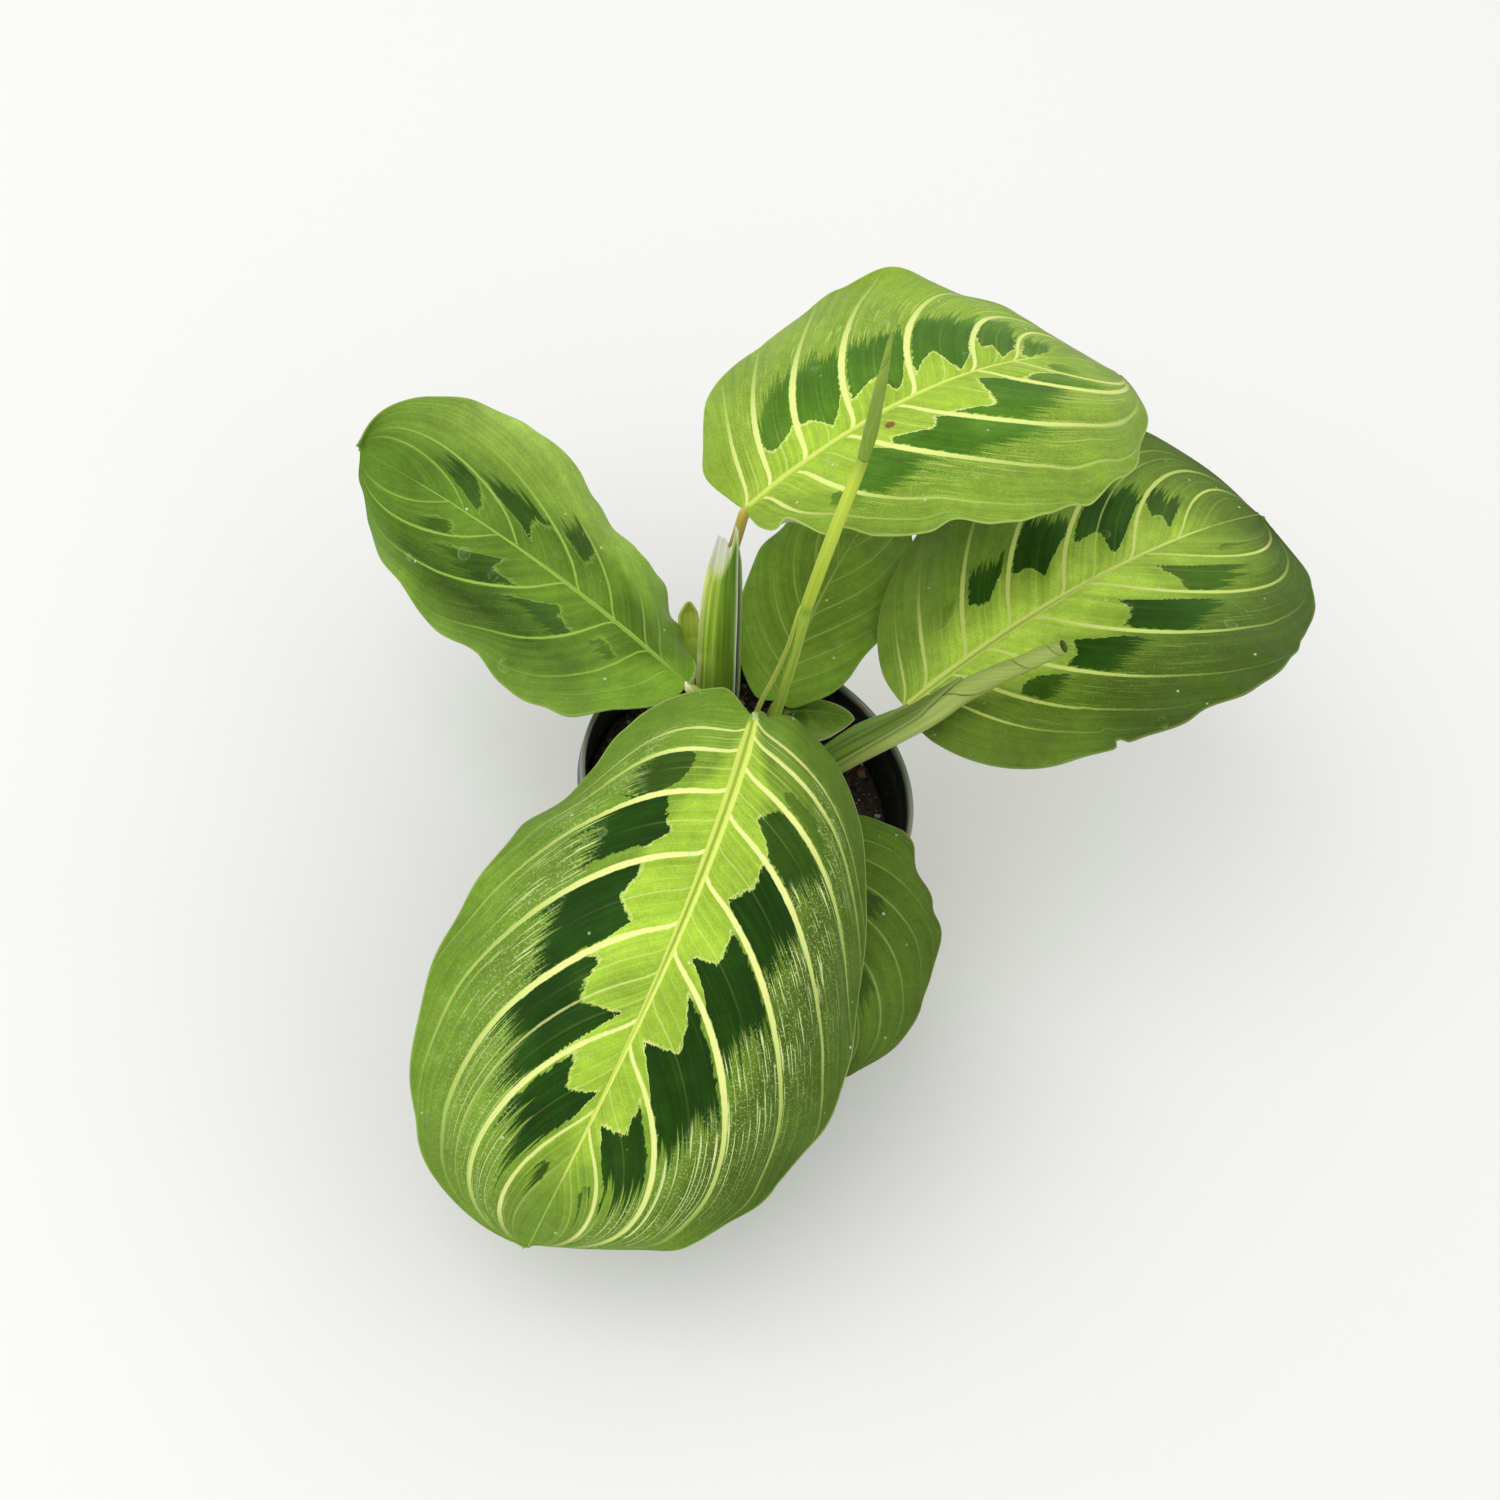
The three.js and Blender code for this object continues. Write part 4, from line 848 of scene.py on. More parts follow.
def makeBlade(name, leaf, seed, underside):
    # Two sheets of grid points, one the blade's thickness below the other, and a strip round
    # their edge. Relief moves both along the normal: a swell of |sin(pi count)|^swellPower
    # between two side veins, and a bell's groove over the midrib, whose ridge stands out below.
    rows, columns, look = leaf["rows"], leaf["columns"], leaf["look"]
    even = 0.5 - 0.5 * np.cos(np.linspace(0, np.pi, rows - 2))
    start, nearEnd, *ends = bladeForm["ends"]
    x = np.append(mixBy(start, nearEnd, even), ends)  # rows lie closer at the base and the tip
    x, t = np.meshgrid(x, np.linspace(-1, 1, columns + 1), indexing="ij")
    e, right = np.abs(t), t < 0
    points, reach = bladePoints(leaf, x, t)
    normal = unit(np.cross(np.gradient(points, axis=0), np.gradient(points, axis=1)))
    half = byHalf(right, leaf["wide"]) * widthShare(leaf, x)
    counts = veinRuns(leaf, x, e, right, reach)
    gaps = [spacing(points, each) for each in counts]
    count, gap = byHalf(right, counts), byHalf(right, gaps)
    margin = np.minimum((1 - e) * half, np.abs(ends[-1] - x) * leaf["length"])
    veinWide, veinTone, fromLast = veinSizes(leaf, counts, x, e, right, margin)

    ribWide = look["ribWidth"] * np.interp(x, *bladeForm["ribWidths"])
    swell = np.abs(np.sin(np.pi * count)) ** bladeForm["swellPower"]
    for limit in (gap / bladeForm["fullGap"], e * 8, (1 - e) * 4, (count + 1) / 1.5, fromLast + 1):
        swell = swell * np.clip(limit, 0, 1)
    groove = bladeForm["shoulders"] * bell(reach - 1.2 * ribWide, 0.8 * ribWide)
    groove = groove - bladeForm["groove"] * bell(reach, 0.7 * ribWide)
    relief = leaf["quilt"] * (swell + np.clip(ribWide, 0, 1) * groove)
    ridge = bladeForm["ridge"] * ribWide * bell(reach, 1.1 * ribWide)
    thick = bladeForm["thickness"] * (1 - bladeForm["thinMargin"] * e ** 4)
    top = points + normal * relief[..., None]
    low = points + normal * (relief - thick - ridge)[..., None]

    patches = [patchDistances(counts[k], e, half, gaps[k], leaf[key])
               for k, key in enumerate(("patchesLeft", "patchesRight"))]
    meanGap = leaf["length"] / (len(leaf["veins"][0]) + 2)
    fields = {
        "field": (count, gap, e),
        "spot": (count * meanGap, reach, np.where(right, 40.0, 0.0)),  # other noise on the right half
        "patch": [byHalf(right, sides) for sides in zip(*patches)],
        "rib": (reach * np.sign(t), ribWide, margin),
        "vein": (veinWide, veinTone, limeDistance(leaf, counts, e, half, right)),
        "body": np.moveaxis(bodyTint(look, np.clip(x, 0, 1), e, right), -1, 0),
    }
    fields = {key: np.tile(np.stack(value, -1).reshape(-1, 3), (2, 1)) for key, value in fields.items()}

    across = columns + 1
    under = rows * across
    edge = np.concatenate([
        np.arange(rows - 1) * across, (rows - 1) * across + np.arange(columns),
        np.arange(rows - 1, 0, -1) * across + columns, np.arange(columns, 0, -1)])
    following = np.roll(edge, -1)
    rim = np.stack([edge, edge + under, following + under, following], -1)
    quads = [gridQuads(rows, across), rim, gridQuads(rows, across, first=under, under=True)]
    shades = np.repeat([0, 0, 1], [len(q) for q in quads])
    upperside = bladeMaterial("livingLeaf_" + name[5:], look, seed)
    made = piece(name.replace("leaf_", "blade_"), np.concatenate([top.reshape(-1, 3), low.reshape(-1, 3)]),
                 np.concatenate(quads), [upperside, underside], fields, shades, sharp=60)
    belongs(made, "leaf_patterned" if name in bladeForm["patterned"] else "leaf_plain", name)


underside = undersideMaterial()
for number, (name, leaf) in enumerate(blades.items()):
    makeBlade(name, leaf, 11.3 * number + 2, underside)
print("leaf blades made")


# Stalks and sheaths. Each strand has points as in the part: x, y, z, radius, how far the
# section opens into a sheath, and the share of its wrap. mouth is the side it opens to, and
# wrap the angle it is wrapped to on each side. tints are colours at shares of the length, and
# edge is the dry margin's. The joint below a blade is a little swollen and yellow: tipRadius
# wide, and lead long.
stalks = {
    "stalk_front": {
        "leaf": "leaf_front", "tipRadius": 0.65, "lead": 0.8, "parts": [{
            "mouth": (0, 1, 0), "wrap": 110,
            "points": [(-1, 9.5, 38, 1.5, 0), (-1, 9.5, 49, 1.8, .5), (-1.4, 8, 62, 1.6, .3),
                       (-2.8, 1.6, 75, 1.2, 0), (-3.8, -5.6, 83.8, .8, 0)],
            "tints": [(0, "#8aa33c"), (0.8, "#95ad48"), (0.92, "#b7c97c"), (1, "#d9dfb2")], "edge": "#c3cf86",
        }],
    },
    "stalk_upper": {
        "leaf": "leaf_upper", "tipRadius": 0.9, "lead": 0.6, "parts": [{
            "mouth": (.75, -.65, 0), "wrap": 100,
            "points": [(-15, 20.6, 66, 1.5, 0), (-16.8, 20.9, 74, 1.6, 0), (-19.0, 20.6, 83, 1.5, 0),
                       (-20.1, 20.1, 90, 1.25, 0), (-20.0, 20.4, 96.5, 1.05, 0)],
            "tints": [(0, "#8fae3e"), (0.6, "#a3ad48"), (0.7, "#aea04c"), (0.8, "#b9a94a"), (0.9, "#c2b94e"),
                      (1, "#bfca56")], "edge": "#c9d68a",
        }],
    },
    "stalk_right": {
        "leaf": "leaf_right", "tipRadius": 1.3, "lead": 3, "parts": [{
            "mouth": (.3, -1, .2), "wrap": 100,
            "points": [(9.4, 12.4, 50, 1.3, 0), (11, 13.8, 55, 1.6, 0), (15.6, 18, 61.8, 1.6, 0)],
            "tints": [(0, "#5f7f2a"), (0.6, "#6d9033"), (0.85, "#93a845"), (1, "#a3b350")], "edge": "#c9d68a",
        }, {
            "mouth": (.75, -.53, -.4), "wrap": 100,
            "points": [(9, 8, 38, 3.2, 1), (9, 8, 49, 3.3, 1), (14.5, 9.6, 62, 3.3, 1),
                       (25.7, 16.6, 76, 3.3, 1, .8), (31.2, 21.1, 83, 3, 1, .12)],
            "tints": [(0, "#4c641a"), (0.4, "#5c7620"), (0.7, "#657d26"), (1, "#8b9f48")], "edge": "#8d9f55",
            "contrast": 1.0,
        }],
    },
    "stalk_left": {
        "leaf": "leaf_left", "tipRadius": 1.05, "lead": 1.6, "parts": [{
            "mouth": (0, 1, 0), "wrap": 110,
            "points": [(-7, 9.5, 38, 1.2, 0), (-7, 9.5, 49, 1.4, .4), (-8.2, 8, 60, 1.3, .2),
                       (-10.6, 4.6, 68.5, 1.2, 0)],
            "tints": [(0, "#8aa03c"), (0.8, "#a3b350"), (0.88, "#efecae"), (1, "#f3efbe")], "edge": "#c9d68a",
        }],
    },
    "stalk_back": {
        "leaf": "leaf_back", "tipRadius": 0.9, "lead": 1.2, "parts": [{
            "mouth": (0, -1, 0), "wrap": 110,
            "points": [(-1, 20, 38, 1, 0), (-1, 20, 49, 1.1, .3), (-1.3, 18.6, 55, 1, 0)],
            "tints": [(0, "#7f9638"), (0.8, "#93a845"), (1, "#b4c06a")], "edge": "#c9d68a",
        }],
    },
    "stalk_lower": {
        "leaf": "leaf_lower", "tipRadius": 1, "lead": 2, "parts": [{
            "mouth": (0, 1, 0), "wrap": 110,
            "points": [(4, 3, 38, 1.1, 0), (4, 3, 49, 1.3, .4), (7.6, 1, 58, 1.2, .2), (13, -3, 64.6, 1, 0)],
            "tints": [(0, "#7f9638"), (0.8, "#93a845"), (1, "#b4c06a")], "edge": "#c9d68a",
        }],
    },
    "stalk_small": {
        "leaf": "leaf_small", "tipRadius": 0.8, "lead": 1, "parts": [{
            "mouth": (0, -1, 0), "wrap": 110,
            "points": [(2, 21.4, 40, .8, 0), (2, 21.4, 49, .9, 0)],
            "tints": [(0, "#7f9638"), (1, "#a3b350")], "edge": "#c9d68a",
        }],
    },
    "stalk_new": {
        "parts": [{
            "mouth": (-.7, -.7, 0), "wrap": 130,
            "points": [(-.6, 14.6, 38, 1.4, .3), (-.6, 14.6, 49, 1.4, .4), (-.8, 15.4, 61, 1.25, .3),
                       (-2, 14.4, 82, 1.1, .2), (-3.1, 12.6, 96.5, 1.2, 0), (-3.7, 12, 118, 1.2, 0),
                       (-4, 14.3, 136, 1.05, 0)],
            "tints": [(0, "#b4c860"), (0.3, "#b9d25a"), (0.5, "#b9d454"), (0.64, "#b0ca4a"),
                      (0.665, "#8fac38"), (0.69, "#b4ca44"), (0.8, "#c3d74a"), (0.95, "#bdd246"),
                      (1, "#9ab03c")],
            "edge": "#b4c070", "contrast": 0.3,
        }, {
            "mouth": (.7, -.7, 0), "wrap": 110,
            "points": [(-3.4, 13.8, 49, .6, 0), (-4.2, 14.4, 61, .55, 0), (-3.6, 14.2, 73, .5, 0),
                       (-3.5, 13.5, 84, .45, 0), (-4.1, 12.1, 95, .35, 0), (-3.9, 11.9, 98, .1, 0)],
            "tints": [(0, "#d6e07c"), (0.6, "#c6d85c"), (1, "#b8cf58")], "edge": "#d8e08c",
        }],
    },
    "scale_left": {
        "parts": [{
            "mouth": (.6, -.8, 0), "wrap": 62,
            "points": [(-17.5, 20, 42, .9, 0), (-17.5, 20, 49, 1.2, .3), (-18.3, 20.3, 55.5, 1.7, .7),
                       (-21.2, 22.2, 61.6, 2.9, 1), (-23.7, 24.2, 66.6, 2.3, 1), (-24.8, 25.1, 69.2, .6, 1)],
            "tints": [(0, "#8fa83c"), (0.5, "#a8be48"), (0.75, "#c6d35a"), (1, "#cbd066")], "edge": "#d4da80",
            "contrast": 0.2,
        }],
    },
}
stalkForm = {
    "wall": 0.5, "leastBore": 0.4, "tension": 0.4, "contrast": 0.5, "grid": (90, 20), "wideGrid": (110, 34),
    "deepInBlade": (0.4, 0.9),  # how far under the blade and how far along it the stalk ends
    "farArc": 20, "farFromEdge": 9,  # added to a round section, so that its front is no sheath's
}

# The upper sheath is a tube with a narrow slit. turns are angles round it, from the slit's
# right side by way of the back to its left side, in degrees from the camera's side; top and
# green are heights there, of the whole sheath and of its green part, below the dry skin.
# tones are colours at the angles in tints; the first two, near black, are painted shade along the slit's
# right side.
upperSheath = {
    "points": [(-12, 17.5, 38), (-12, 17.5, 48), (-13.2, 18, 57), (-16.8, 18.8, 73), (-19.4, 19.1, 86),
               (-20.8, 18.8, 95.5), (-22, 18.3, 104.5)],
    "heights": (38, 48, 57, 73, 80, 86, 90, 95, 100, 104.5),
    "radii": (3.4, 4.2, 4.4, 4.15, 3.95, 3.6, 3.2, 2.65, 2.15, 1.6),
    "toRight": (0.93, 0.32, 0.17), "wall": 0.35, "grid": (100, 150),
    "turns": (60, 70, 90, 120, 180, 240, 262, 270, 285, 330, 350, 362, 374, 386, 396, 405.5),
    "top": (97.5, 95, 92, 90, 89, 89.5, 92.5, 96.5, 100, 100.6, 99.8, 98.2, 98.6, 101.2, 103.6, 102.6),
    "green": (96.5, 94, 91.4, 89.4, 88.4, 88.4, 88.8, 89.2, 89.5, 90.5, 91.5, 93.5, 96, 98.5, 100, 99.5),
    "tints": (60, 62.5, 65.5, 70, 90, 180, 262, 275, 302, 309, 318, 328, 340, 350, 364, 396, 401, 405.5),
    # the first two tones are painted shade along the slit
    "tones": ("#20281a", "#20281a", "#cfdcb8", "#8cae3c", "#98b945", "#7ca834", "#cfe470", "#eef6a0",
              "#e0ef86", "#a5c443", "#bcd850", "#8fb238", "#aecb4a", "#7d9f30", "#6f9428", "#60841f",
              "#a3b87c", "#eaf0dc"),
    "overlap": 0.25, "overlapTurns": (50, 62, 394, 405.5),  # its left edge stands out a little
    "dry": ("#cdd98a", "#d6dbbd", "#dadccf"), "dryFrom": 1.2, "dryOver": 3, "paleOver": 9,
    # painted shade: the inner wall darkens towards the inside tone below the given height, over the given
    # span
    "inside": "#1c2414", "shadeBelow": 92, "shadeOver": 8, "edge": "#c2cfae", "contrast": 0.7,
    "skinRadius": 4, "leastFromEdge": 0.4,
}


def curvePoints(points, u):
    # a Catmull-Rom curve through the points, p + l w + s w^2 + c w^3, at shares u of its
    # spans, and its direction
    given = np.array([p[:3] for p in points], float)
    padded = np.vstack([2 * given[0] - given[1], given, 2 * given[-1] - given[-2]])
    place = u * (len(given) - 1)
    span = np.minimum(place.astype(int), len(given) - 2)
    w = (place - span)[:, None]
    before, start, end, after = (padded[span + k] for k in range(4))
    leave, arrive = stalkForm["tension"] * (end - before), stalkForm["tension"] * (after - start)
    square = -3 * start + 3 * end - 2 * leave - arrive
    cube = 2 * start - 2 * end + leave + arrive
    heading = unit(leave + 2 * square * w + 3 * cube * w ** 2)
    return start + leave * w + square * w ** 2 + cube * w ** 3, heading


def columnAt(points, column, u, missing=1.0):
    # a value that the points carry beside x, y and z, evenly between them at shares u
    values = [p[column] if len(p) > column else missing for p in points]
    return np.interp(u * (len(points) - 1), np.arange(len(points)), values)


def sectionGrid(path, stations, steps):
    # Rings along the path. Each is a round section, (r cos v, r sin v), blended towards a
    # split tube of the given wrap: half its points run round the back, and the other half
    # return round the front or along the tube's inner wall. stem is the arc, the length and the
    # distance from the sheath's edge, in millimetres, and a round section is far from any edge.
    u = np.linspace(0, 1, stations)
    center, forward = curvePoints(path["points"], u)
    mouth = np.array(path["mouth"], float)
    back = unit(-mouth + forward * (forward @ mouth)[:, None])
    side = np.cross(forward, back)
    radius, opened = [columnAt(path["points"], column, u)[:, None] for column in (3, 4)]
    wrap = np.radians(path["wrap"] * columnAt(path["points"], 5, u))[:, None]
    share = np.linspace(-1, 1, steps)[None, :]
    turn, split = share * np.pi / 2 + 0 * wrap, share * wrap
    bore = np.maximum(radius - stalkForm["wall"], radius * stalkForm["leastBore"])
    outB = radius * mixBy(np.cos(turn), np.cos(split), opened)
    outS = radius * mixBy(np.sin(turn), np.sin(split), opened)
    inB = mixBy(-radius * np.cos(turn), bore * np.cos(split), opened)
    inS = mixBy(radius * np.sin(turn), bore * np.sin(split), opened)
    b = np.concatenate([outB, inB[:, ::-1]], 1)[..., None]
    s = np.concatenate([outS, inS[:, ::-1]], 1)[..., None]
    rings = center[:, None, :] + back[:, None, :] * b + side[:, None, :] * s
    farArc, farFromEdge = [(1 - opened) * stalkForm[key] for key in ("farArc", "farFromEdge")]
    arc = np.concatenate([radius * split, (radius * split)[:, ::-1] + farArc], 1)
    fromEdge = np.concatenate([radius * (wrap - np.abs(split))] * 2, 1) + farFromEdge
    tint = tintAt(u[:, None] + 0 * arc, *zip(*path["tints"]))
    length = alongCurve(center)[:, None] + 0 * arc
    return rings, {"stem": np.stack([arc, length, fromEdge], -1), "tint": tint}


def upperSheathGrid(path):
    # rings from the foot to the uneven top, each point at center + radius (front cos v +
    # right sin v); each angle v round the tube has its own height
    stations, steps = path["grid"]
    center, forward = curvePoints(path["points"], np.linspace(0, 1, 400))
    turn = np.linspace(path["turns"][0], path["turns"][-1], steps)
    top, green = [np.interp(turn, path["turns"], path[key])[None, :] for key in ("top", "green")]
    height = mixBy(path["heights"][0], top, np.linspace(0, 1, stations)[:, None] ** 0.8)
    middle, along = [np.stack([np.interp(height, center[:, 2], given[:, k]) for k in range(3)], -1)
                     for given in (center, forward)]
    right = unit(path["toRight"] - along * (along @ np.array(path["toRight"]))[..., None])
    angle = np.radians(turn)[None, :, None]
    outward = np.cross(right, along) * np.cos(angle) + right * np.sin(angle)
    radius = np.interp(height, path["heights"], path["radii"])
    overlap = path["overlap"] * np.interp(turn, path["overlapTurns"], (-1, 0, 0, 1))[None, :]
    outer = middle + outward * (radius + overlap)[..., None]
    inner = middle + outward * (radius + overlap - path["wall"])[..., None]
    rings = np.concatenate([outer, inner[:, ::-1]], 1)
    skin = np.clip((height - green + path["dryFrom"]) / path["dryOver"], 0, 1)[..., None] ** 0.7
    dry = tintAt(np.clip((height - green) / path["paleOver"], 0, 1), (0, 0.5, 1), path["dry"])
    tint = mixBy(tintAt(turn, path["tints"], path["tones"])[None] + 0 * outer, dry, skin)
    arc = np.radians(turn)[None, :] * path["skinRadius"] + 0 * radius
    fromEdge = np.radians(np.minimum(turn - turn[0], turn[-1] - turn))[None, :] * radius
    stem = np.stack([arc, height - height[:1], fromEdge + path["leastFromEdge"]], -1)
    # painted shade deep inside the tube
    deep = np.clip((path["shadeBelow"] - height) / path["shadeOver"], 0, 0.95)[..., None]
    within = mixBy(tint, np.array(colour(path["inside"])[:3]), deep)
    return rings, {"stem": np.concatenate([stem, stem[:, ::-1]], 1),
                   "tint": np.concatenate([tint, within[:, ::-1]], 1)}


def loftQuads(rows, count, first=0):
    # the faces between rings that are closed round, and strips that close the first and the
    # last ring, each from point k of a ring to point count - 1 - k
    near = np.arange(count // 2 - 1)
    far = count - 1 - near
    strip = np.stack([near, near + 1, far - 1, far], -1)
    sides = gridQuads(rows, count, first=first, closed=True)[:, ::-1]
    return np.concatenate([sides, strip[:, ::-1] + first, strip + first + (rows - 1) * count])


def stalkMaterial(name, edge, contrast):
    # living stalk: smooth, juicy skin with fine lengthwise ribs, and a sheath's margins dry
    # out pale
    material, shader, add = newMaterial(name)
    arc, length, fromEdge = add("SeparateXYZ", add("Attribute", attribute_name="stem")).node.outputs
    around = add("CombineXYZ", arc, length)
    ribs = add("TexNoise", add("Mapping", around, (1.6, 0.035, 1)), 1.0, 2.0)  # 0.6 mm apart
    bands = add("TexNoise", add("Mapping", around, (0.6, 0.05, 1), (3, 0, 0)), 1.0, 1.0)  # 1.7 mm
    lighter = [add("MapRange", noise, 0.35, 0.65, 1 - depth * contrast, 1 + depth * contrast)
               for noise, depth in ((ribs, 0.3), (bands, 0.18))]
    body = add("VectorMath SCALE", add("Attribute", attribute_name="tint"), add("Math MULTIPLY", *lighter))
    dry = add("MapRange SMOOTHSTEP", fromEdge, 0.6, 0.25, 0.0, 0.9)
    body = add("Mix RGBA", dry, body, colour(edge))
    feed(shader, {"Base Color": body, "Roughness": 0.45, "IOR": 1.42, "Specular IOR Level": 0.35,
                  "Normal": add("Bump", 0.5, 0.0002, ribs)})
    return material


def toBlade(stalk, points):
    # the stalk's own points and the two that carry it to its blade, along the midrib's first
    # direction and just under its skin
    leaf, radius = blades[stalk["leaf"]], stalk["tipRadius"]
    forward = ahead(pair(leaf["heading"], 0.0), pair(leaf["pitch"], 0.0))
    up = spineAt(leaf, np.array([0.0]))[3][0]
    below, along = stalkForm["deepInBlade"]
    end = np.array(leaf["base"]) - up * below + forward * along
    before = end - forward * (stalk["lead"] + 0.5)
    return points + [(*before, radius * 1.15, 0), (*end, radius * 0.45, 0)]


def makeStalk(name, stalk):
    # all strands of one stalk in one mesh, each with its own material
    strands = []
    for number, part in enumerate(stalk["parts"]):
        if number == 0 and "leaf" in stalk:
            part = dict(part, points=toBlade(stalk, part["points"]))
        size = stalkForm["wideGrid"] if part["points"][0][4] == 1 else stalkForm["grid"]
        strands.append((part, *sectionGrid(part, *size)))
    if name == "stalk_upper":
        strands.append((upperSheath, *upperSheathGrid(upperSheath)))
    quads, shades, materials, first = [], [], [], 0
    for number, (part, rings, _) in enumerate(strands):
        quads.append(loftQuads(*rings.shape[:2], first))
        shades.append(np.full(len(quads[-1]), number))
        contrast = part.get("contrast", stalkForm["contrast"])
        materials.append(stalkMaterial(f"livingStalk_{name}_{number}", part["edge"], contrast))
        first += rings.shape[0] * rings.shape[1]
    points = np.concatenate([rings.reshape(-1, 3) for _, rings, _ in strands])
    fields = {key: np.concatenate([own[key].reshape(-1, 3) for _, _, own in strands])
              for key in ("stem", "tint")}
    made = piece(name.replace("stalk_", "stem_").replace("scale_", "scaleLeaf_"), points,
                 np.concatenate(quads), materials, fields, np.concatenate(shades), sharp=50)
    belongs(made, "leaf_stalk", name)


for name, stalk in stalks.items():
    makeStalk(name, stalk)
print("stalks made")


# New leaves that are still rolled up: points are x, y, z and radius, step is the free edge's
# height, and turns are where that edge starts and how far it winds, slowly and at the mouth.
rolls = {
    "leaf_rolled_tall": {
        "points": [(-4.02, 14.37, 136.2, 1.1), (-4.6, 14.9, 142, 1.35), (-6.2, 15.5, 153.5, 1),
                   (-7.6, 16, 163.5, .3)],
        "mouthDepth": 0, "step": 0.14, "turns": (0.1, 0.5, 1.6), "stations": 90, "around": 28,
        "look": {"pale": "#97b23c", "green": "#748f2a", "edge": "#5a7620", "inside": "#667a34"},
    },
    "leaf_rolled_open": {
        "points": [(9, 8, 38, 2.1), (9, 8, 49, 2.3), (14.5, 9.6, 62, 2.4), (25.7, 16.6, 76, 2.45),
                   (30.2, 20.9, 82, 2.35), (36.2, 22.8, 91, 1.95), (43.2, 24.6, 101, 1.6)],
        "mouthDepth": 22, "step": 0.2, "turns": (0.05, 0.75, 2.3), "stations": 170, "around": 56,
        "look": {"pale": "#adbf60", "green": "#8ca046", "edge": "#5f7428", "inside": "#667a34"},
    },
}


def rollMaterial(name, look):
    # a leaf rolled tight: the pale underside shows, with close fine veins round the roll, and a darker lining
    # in its mouth, partly painted shade
    material, shader, add = newMaterial(name)
    length, arc, spiral = add("SeparateXYZ", add("Attribute", attribute_name="roll")).node.outputs
    place = add("CombineXYZ", arc, length, 0.0)
    slanted = add("Mapping", place, (1.9, 0.07, 1), (0, 0, 0), (0, 0, 0.06))
    lines = add("TexNoise", slanted, 1.0, 3.0)  # veins 0.5 mm apart
    cloud = add("TexNoise", add("Mapping", place, (0.12, 0.06, 1)), 1.0, 2.0)
    pale, green = colour(look["pale"]), colour(look["green"])
    body = add("Mix RGBA", add("MapRange", lines, 0.36, 0.64, 0.0, 0.7), pale, green)
    body = add("Mix RGBA", add("MapRange", length, 45.0, 5.0, 0.0, 0.55), body, green)
    body = add("Mix RGBA", add("MapRange", cloud, 0.45, 0.7, 0.0, 0.4), body, pale)
    # the lining inside the mouth is darker: partly the leaf's own green upper side, partly painted shade
    # inside the roll
    inside = add("Math MULTIPLY", add("Math LESS_THAN", length, 0.0), 0.75)
    body = add("Mix RGBA", inside, body, colour(look["inside"]))
    edge = add("MapRange SMOOTHSTEP", spiral, 0.955, 0.995)
    body = add("Mix RGBA", edge, body, colour(look["edge"]))
    feed(shader, {"Base Color": body, "Roughness": 0.46, "IOR": 1.42,
                  "Normal": add("Bump", 0.4, 0.0002, lines)})
    return material


def rollRings(roll, frames, radii, turn, share, length):
    # one ring for each radius: (radius - step x share) (side cos v + up sin v) about the path
    center, side, up = [part[:, None, :] for part in frames]
    reach = radii[:, None] - roll["step"] * share[None, :]
    grid = center + side * (reach * np.cos(turn))[..., None] + up * (reach * np.sin(turn))[..., None]
    values = (length[:, None] + 0 * reach, radii[:, None] * turn, share[None, :] + 0 * reach)
    return grid, np.stack(values, -1)


def makeRoll(name, roll):
    # Rings along the path. Going once round, the radius falls by one leaf's thickness, so the
    # free edge shows as a step. It winds up the roll by slow u + fast u^7 turns. An open mouth
    # gets a lining that runs back down inside.
    u, share = np.linspace(0, 1, roll["stations"]), np.linspace(0, 1, roll["around"])
    center, forward = curvePoints(roll["points"], u)
    side = unit(np.cross([0.0, 1.0, 0.0], forward))
    frames = np.stack([center, side, np.cross(forward, side)])
    radius, length = columnAt(roll["points"], 3, u), alongCurve(center)
    first, slow, fast = roll["turns"]
    turn = 2 * np.pi * ((first + slow * u + fast * u ** 7)[:, None] + share[None, :])
    grid, values = rollRings(roll, frames, radius, turn, share, length)
    if roll["mouthDepth"]:
        inward = np.nonzero(length > length[-1] - roll["mouthDepth"])[0][::-1]
        inner = radius[inward] - roll["step"] * 1.3
        inner[-1] = 0.05
        lining, lined = rollRings(roll, frames[:, inward], inner, turn[inward], share, -length[inward])
        grid, values = np.concatenate([grid, lining]), np.concatenate([values, lined])
    made = piece(name.replace("leaf_rolled_", "roll_"), grid, loftQuads(len(grid), roll["around"]),
                 [rollMaterial(name.replace("leaf_rolled_", "rolledLeaf_roll_"), roll["look"])],
                 {"roll": values}, sharp=35)
    belongs(made, "leaf_rolled", name)


for name, roll in rolls.items():
    makeRoll(name, roll)
print("rolled leaves made")


# soil: a low mound with lumps and crumbs, and loose bits and fibres on it, in millimetres
soil = {
    "level": 48, "lumpHeight": 0.7, "lumpWidth": 12, "crownRise": 1.6, "edgeDip": 0.4,
    "radius": 29.9, "low": 1.7, "lowRadius": 22.4, "rings": 90, "sides": 240,
    "crumbs": ((3.1, 0.88, 5), (1.4, 0.605, 6), (0.75, 0.385, 7)),  # width, height, seed
    "tones": ("#160f0b", "#3a2a22", "#382820"),
}
bits = {
    "seed": 21, "count": 2200, "size": (0.35, 1.8), "fromWall": 0.9, "sunk": 0.12, "pale": 0.1,
    # a crumb's second and third side as shares of the first, its corners, each as least value
    # and range, the power that makes most crumbs small, and the range of its tip
    "second": (0.45, 0.5), "third": (0.3, 0.4), "corner": (0.62, 0.5), "smallPower": 3.5, "tip": 0.7,
    "fibres": 110, "fibreSteps": 7, "fibreHalf": (1.2, 4.4), "fibreThick": 0.09, "fibreBend": 1.6,
    "fibreFromWall": 5, "fibreLift": (0.15, 0.25), "tones": ("#1c120e", "#755646", "#a59b8c", "#0d0907"),
}


